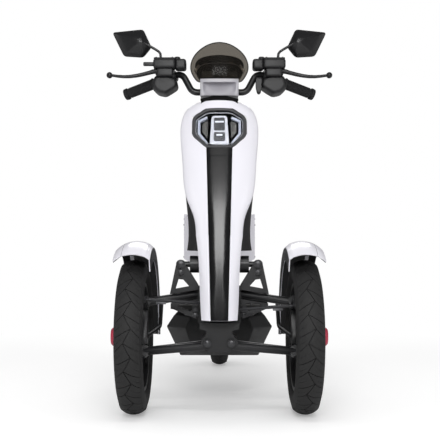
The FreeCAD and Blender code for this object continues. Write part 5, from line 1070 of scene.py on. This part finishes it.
# The rounded blocks of the right side, each with its low and high corner and its edge.
RESERVOIR_BLOCKS = (((0.148, -0.353, 1.106), (0.2224, -0.306, 1.1375), 0.0075),
                    ((0.15, -0.3515, 1.1355), (0.2204, -0.3075, 1.1415), 0.0026),
                    ((0.112, -0.344, 1.1045), (0.15, -0.296, 1.1395), 0.0085),
                    ((0.156, -0.346, 1.08), (0.21, -0.29, 1.108), 0.006))
RESERVOIR_CAP = [(0, 0), (0, 0.0105), (0.01, 0.0105), (0.0128, 0.0088), (0.0138, 0.005), (0.0138, 0)]
BAR_CLAMP = [(0, 0), (0, 0.018), (0.003, 0.0205), (0.022, 0.0205), (0.025, 0.018), (0.025, 0)]
LEVER_PIVOT = [(0, 0), (0, 0.01), (0.002, 0.0115), (0.022, 0.0115), (0.024, 0.01), (0.024, 0)]
THUMB_LAYERS = ((-0.312, 0.85), (-0.309, 1.0), (-0.299, 1.0), (-0.296, 0.85))


def side_block(side, low, high, edge):
    """A rounded block that is given for the right side, on either side."""
    x = sorted((side * low[0], side * high[0]))
    return soft_block((x[0], low[1], low[2]), (x[1], high[1], high[2]), edge, 4)


def upright(profile, spot, steps):
    """A turned form that stands on a spot."""
    return turned_form(profile, spot, Vector(spot) + Vector((0, 0, 1)), steps)


control_forms = []
lever_forms = []
for side in (-1, 1):
    switch = rounded_line([(side * x, z) for x, z in SWITCH_OUTLINE], 0.009)
    control_forms.append(layered_form(switch, SWITCH_LAYERS, (side * 0.185, 1.058)))
    control_forms += [side_block(side, *sizes) for sizes in RESERVOIR_BLOCKS]
    control_forms.append(upright(RESERVOIR_CAP, (side * 0.142, -0.328, 1.134), 32))
    control_forms.append(turned_form(BAR_CLAMP, on_bar(side, 0.1), on_bar(side, 1), 36))
    lever = [(side * x, LEVER_Y - LEVER_FORWARD * min((x - LEVER_LINE[0][0]) / 0.08, 1), z)
             for x, z in LEVER_LINE]
    lever_forms.append(tube_form(lever, LEVER_RADII, 14))
    ball = bmesh.new()
    bmesh.ops.create_uvsphere(ball, u_segments=24, v_segments=14, radius=BALL_RADIUS)
    bmesh.ops.translate(ball, verts=ball.verts, vec=(side * BALL_X, LEVER_Y - LEVER_FORWARD, BALL_Z))
    lever_forms.append(ball)
    lever_forms.append(upright(LEVER_PIVOT, (side * 0.204, -0.33, 1.085), 28))
control_forms.append(soft_block((-0.2565, -0.34, 1.116), (-0.219, -0.327, 1.1285), 0.0035))
control_forms.append(layered_form(rounded_line(THUMB_OUTLINE, 0.006), THUMB_LAYERS, (0.1345, 1.055)))
controls = make_piece("switches_and_reservoirs", gather(*control_forms), "steering", control_black,
                      50)
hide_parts("hand_controls")
levers = make_piece("levers", gather(*lever_forms), "steering", lever_black, 50)
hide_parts("brake_levers")
BUTTON = [(0, 0), (0, 0.0062), (0.004, 0.0062), (0.0052, 0.0052), (0.0056, 0)]
BUTTON_SPOTS = ((0.165, 1.062), (0.2, 1.066), (0.184, 1.046))
lid_screws = [cap_screw((side * x, -0.345, 1.1413), (0, 0, 1), 0.003, 0.0022)
              for side in (-1, 1) for x in (0.158, 0.212)]
buttons = [turned_form(BUTTON, (side * x, -0.245, z), (side * x, 0.755, z), 28)
           for side in (-1, 1) for x, z in BUTTON_SPOTS]
make_piece("reservoir_screws", gather(*lid_screws), "steering", screw_steel)
make_piece("switch_buttons", gather(*buttons), "steering", button_grey)
STOP_BUTTON = [(0, 0), (0, 0.0072), (0.006, 0.0072), (0.0075, 0.006), (0.008, 0)]
stop_form = turned_form(STOP_BUTTON, (0.214, -0.2465, 1.066), (0.214, 0.7535, 1.266), 28)
make_piece("stop_button", stop_form, "steering", button_red)

# Mirrors: five-cornered black housings with well rounded edges, each on a bent steel stem
# that is screwed into the reservoir's body. The glass is set into the rider's side.
mirror_black = finish("mirror_black", (0.007, 0.007, 0.008), 0.34, relief=(900, 0.1), rubbing=(0.34, 0.1))
MIRROR_OUTLINE = ((0.364, 1.235), (0.2585, 1.246), (0.23, 1.1849), (0.2585, 1.15), (0.3245, 1.154))
MIRROR_APEX = (0.264, 1.199)
MIRROR_LAYERS = ((-0.3063, 0.97), (-0.3072, 1.0), (-0.3115, 1.0), (-0.314, 0.975), (-0.324, 0.7),
                 (-0.334, 0.38), (-0.339, 0.18), (-0.34, 0.08))
STEM_LINE = ((0.25, 1.193), (0.235, 1.1845), (0.215, 1.173), (0.2045, 1.166), (0.1995, 1.159),
             (0.1985, 1.148), (0.1985, 1.135))
STEM_NUT = [(0, 0), (0, 0.0095), (0.003, 0.0095), (0.0036, 0.0072), (0.011, 0.0072), (0.012, 0.006),
            (0.012, 0)]
mirror_forms = []
for side in (-1, 1):
    outline = rounded_line([(side * x, z) for x, z in MIRROR_OUTLINE], 0.011, 5)
    mirror_forms.append(layered_form(outline, MIRROR_LAYERS, (side * MIRROR_APEX[0], MIRROR_APEX[1])))
    stem_line = [(side * x, -0.326, z) for x, z in STEM_LINE]
    mirror_forms.append(tube_form(stem_line, 0.0043, 14))
    mirror_forms.append(upright(STEM_NUT, stem_line[-1], 28))
mirror_pair = make_piece("mirror_housings", gather(*mirror_forms), "steering", mirror_black,
                         60)
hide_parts("mirrors")
mirror_silver = finish("mirror_silver", (0.82, 0.82, 0.84), 0.03, 1.0, rubbing=(0.03, 0.02, 20))
dress(mirror_silver, "mirror_glass")

# Side panels' trim: a black strip under the seat's edge, three louvres and three screws on
# each side, clipped into the white panel.
TRIM_FACE = 0.14
TRIM_HALF = 0.0032
SEAT_STRIP = (0.165, 0.6, 0.628)
PANEL_SCREWS = ((0.172, 0.605), (0.172, 0.478), (0.622, 0.605))
LOUVRES = ((0.185, 0.325, 0.585), (0.185, 0.312, 0.57), (0.185, 0.299, 0.555))
trim_forms = []
panel_screws = []
for side in (-1, 1):
    for start_y, stop_y, z in (*LOUVRES, SEAT_STRIP):
        x = sorted((side * (TRIM_FACE - 0.002), side * (TRIM_FACE + 0.0018)))
        trim_forms.append(soft_block((x[0], start_y, z - TRIM_HALF), (x[1], stop_y, z + TRIM_HALF), 0.0009))
    for y, z in PANEL_SCREWS:
        panel_screws.append(cap_screw((side * TRIM_FACE, y, z), (side, 0, 0), 0.004, 0.0026))
make_piece("side_panel_trim", gather(*trim_forms), "chassis", shield_black)
make_piece("side_panel_screws", gather(*panel_screws), "chassis", screw_steel)

# Leg shield's fittings: a bag hook on its plate, and the charging socket's round lid, both
# moulded in black and screwed to the rider's side.
HOOK_FOOT = Vector((0, -0.3265, 0.795))
SOCKET_FOOT = Vector((0, -0.3945, 0.618))
SHIELD_BACK = Vector((0, 0.92, -0.38))
HOOK_BENDS = ((-0.004, 0), (0.014, -0.004), (0.028, -0.006), (0.036, 0.001), (0.037, 0.012), (0.035, 0.02))
hook_line = [HOOK_FOOT + Vector((0, y, z)) for y, z in HOOK_BENDS]
hook_plate = [(0, 0), (0, 0.0175), (0.003, 0.0175), (0.0045, 0.016), (0.005, 0.012), (0.005, 0)]
lid_profile = [(0, 0), (0, 0.025), (0.003, 0.025), (0.0055, 0.0235), (0.0062, 0.02), (0.0052, 0.0185),
               (0.0052, 0)]
fittings = [tube_form(hook_line, 0.0046, 12), turned_form(hook_plate, HOOK_FOOT, HOOK_FOOT + SHIELD_BACK, 40),
            turned_form(lid_profile, SOCKET_FOOT, SOCKET_FOOT + SHIELD_BACK, 56)]
make_piece("leg_shield_fittings", gather(*fittings), "chassis", control_black, 40)

# Floorboard: a ribbed rubber-coated board screwed on to the floor rails.
deck_rubber = finish("deck_rubber", (0.018, 0.018, 0.019), 0.7, relief=(900, 0.35),
                     rubbing=(0.7, 0.14, 12, (0.032, 0.031, 0.029)))
rounded_copy("floorboard", "chassis", deck_rubber, 0.0012)
deck_screws = [cap_screw((side * 0.11, y, 0.3112), (0, 0, 1), 0.005, 0.003)
               for side in (-1, 1) for y in (-0.322, -0.118, 0.112)]
make_piece("deck_screws", gather(*deck_screws), "chassis", screw_steel)

# Battery case: a closed black moulding under the floor rails, with two rows of ribs under it.
rounded_copy("battery_case", "chassis", shield_black, 0.01, 12, 4)
RIB_ROW_X = 0.06
RIB_STEP = 0.018
RIB_HALF = 0.004
case_ribs = [soft_block((x - RIB_HALF, -0.2, 0.1265), (x + RIB_HALF, 0.03, 0.1305), 0.0012)
             for x in (side * (RIB_ROW_X + i * RIB_STEP) for side in (-1, 1) for i in range(-2, 3))]
make_piece("case_ribs", gather(*case_ribs), "chassis", shield_black)

# Seat: one long padded saddle, foam under black vinyl, that steps up to the passenger's
# part. Piping runs round its upper edge, and two sewn channels cross its top.
SEAT_SEAM_Z = 0.7
CUSHION_SHARES = (0.965, 0.985, 0.93)
CUSHION_LIFT = 0.0015
CUSHION_VOXEL = 0.006
PAN_GAP = 0.0012
SWELL_CAP = 0.012
SWELL_FRAMES = 20
CHANNEL_HALF = 0.012
CHANNEL_DEPTH = 0.005
CHANNELS = (0.3, 0.43)
seat_vinyl = finish("seat_vinyl", (0.011, 0.011, 0.012), 0.48, relief=(700, 0.35, 4.0),
                    rubbing=(0.5, 0.14, 12), Sheen_Weight=0.05)
cushion_form = bmesh.new()
cushion_form.from_mesh(cad["seat"].data)
bmesh.ops.remove_doubles(cushion_form, verts=cushion_form.verts, dist=1e-5)
seat_low, seat_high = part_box("seat")
seat_middle = (seat_low + seat_high) / 2
for point in cushion_form.verts:
    point.co.x = seat_middle.x + (point.co.x - seat_middle.x) * CUSHION_SHARES[0]
    point.co.y = seat_middle.y + (point.co.y - seat_middle.y) * CUSHION_SHARES[1]
    point.co.z = seat_low.z + CUSHION_LIFT + (point.co.z - seat_low.z) * CUSHION_SHARES[2]
cushion = add_object("seat_cushion", mesh_of("seat_cushion", cushion_form))
remesh = cushion.modifiers.new("even_mesh", "REMESH")
remesh.mode = "VOXEL"
remesh.voxel_size = CUSHION_VOXEL


def bake(thing):
    """Gives the thing the mesh that its modifiers make of it."""
    graph = bpy.context.evaluated_depsgraph_get()
    baked = bpy.data.meshes.new_from_object(thing.evaluated_get(graph))
    thing.modifiers.clear()
    thing.data = baked


bake(cushion)
plain = [point.co.copy() for point in cushion.data.vertices]
padding = cushion.modifiers.new("padding", "CLOTH")
padding.settings.use_pressure = True
padding.settings.uniform_pressure_force = 4
padding.settings.effector_weights.gravity = 0
padding.point_cache.frame_start = 1
padding.point_cache.frame_end = SWELL_FRAMES
for moment in range(1, SWELL_FRAMES + 1):
    bpy.context.scene.frame_set(moment)
bake(cushion)
bpy.context.scene.frame_set(1)
for point, rest in zip(cushion.data.vertices, plain):
    shift = point.co - rest
    if shift.length > SWELL_CAP:
        point.co = rest + shift.normalized() * SWELL_CAP
    point.co.z = max(point.co.z, seat_low.z + PAN_GAP)
    for channel in CHANNELS:
        away = abs(point.co.y - channel)
        if away < CHANNEL_HALF and point.co.z > SEAT_SEAM_Z - 0.01:
            point.co.z -= CHANNEL_DEPTH * (1 - away / CHANNEL_HALF) ** 2
smooth = cushion.modifiers.new("smooth", "SUBSURF")
smooth.levels = 1
smooth.render_levels = 1
bake(cushion)
cushion.data.shade_smooth()
cushion.data.materials.clear()
cushion.data.materials.append(seat_vinyl)
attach(cushion, "seat_lid")
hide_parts("seat")

piping_form = bmesh.new()
piping_form.from_mesh(cushion.data)
loop = {item for item in cut_level(piping_form, SEAT_SEAM_Z) if isinstance(item, bmesh.types.BMEdge)}
bmesh.ops.delete(piping_form, geom=[edge for edge in piping_form.edges if edge not in loop], context="EDGES")
loose = [point for point in piping_form.verts if not point.link_edges]
bmesh.ops.delete(piping_form, geom=loose, context="VERTS")
piping = add_object("seat_piping", mesh_of("seat_piping_line", piping_form))
bpy.ops.object.select_all(action="DESELECT")
bpy.context.view_layer.objects.active = piping
piping.select_set(True)
bpy.ops.object.convert(target="CURVE")
piping.data.bevel_depth = 0.0022
piping.data.bevel_resolution = 2
bpy.ops.object.convert(target="MESH")
piping.select_set(False)
piping.data.materials.clear()
piping.data.materials.append(seat_vinyl)
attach(piping, "seat_lid")

# Seat pan and storage tub: plain black mouldings under the cushion.
tub_black = finish("tub_black", (0.01, 0.01, 0.011), 0.6, relief=(1000, 0.3), rubbing=(0.6, 0.12))
dress(tub_black, "seat_pan", "storage_bucket")

# Rear fender, rack and plate holder: a moulded black fender, a welded and coated tube rack
# with its drilled plate, and a bare holder with a round red reflector on its back.
rack_black = finish("rack_black", (0.008, 0.008, 0.009), 0.42, relief=(700, 0.14), rubbing=(0.42, 0.12))
rounded_copy("rear_rack", "chassis", rack_black, 0.0008, 60)
dress(liner_black, "rear_fender")
rounded_copy("plate_bracket", "chassis", control_black, 0.001, 50)
reflector_red = finish("reflector_red", (0.42, 0.012, 0.012), 0.15, relief=(260, 0.3, 0.0),
                       rubbing=(0.16, 0.08, 40), Coat_Weight=0.8)
REFLECTOR = [(0, 0), (0, 0.0225), (0.002, 0.0225), (0.0035, 0.021), (0.0042, 0.012), (0.0044, 0)]
reflector_form = turned_form(REFLECTOR, (0, 0.8749, 0.432), (0, 1.8749, 0.432), 48)
make_piece("rear_reflector", reflector_form, "chassis", reflector_red)

# Tail lamp and rear signals: clear-coated red and amber lenses with moulded ribs, on
# black stalks at both sides.
tail_red = finish("tail_red", (0.36, 0.008, 0.008), 0.14, relief=(220, 0.25, 0.0), rubbing=(0.15, 0.08, 30),
                  Coat_Weight=0.8)
rounded_copy("tail_lamp", "chassis", tail_red, 0.005, 30, 4)
signal_amber = finish("signal_amber", (0.62, 0.16, 0.01), 0.14, relief=(260, 0.25, 0.0),
                      rubbing=(0.15, 0.08, 30), Coat_Weight=0.8)
rounded_copy("rear_signals", "chassis", signal_amber, 0.003, 40, 3)
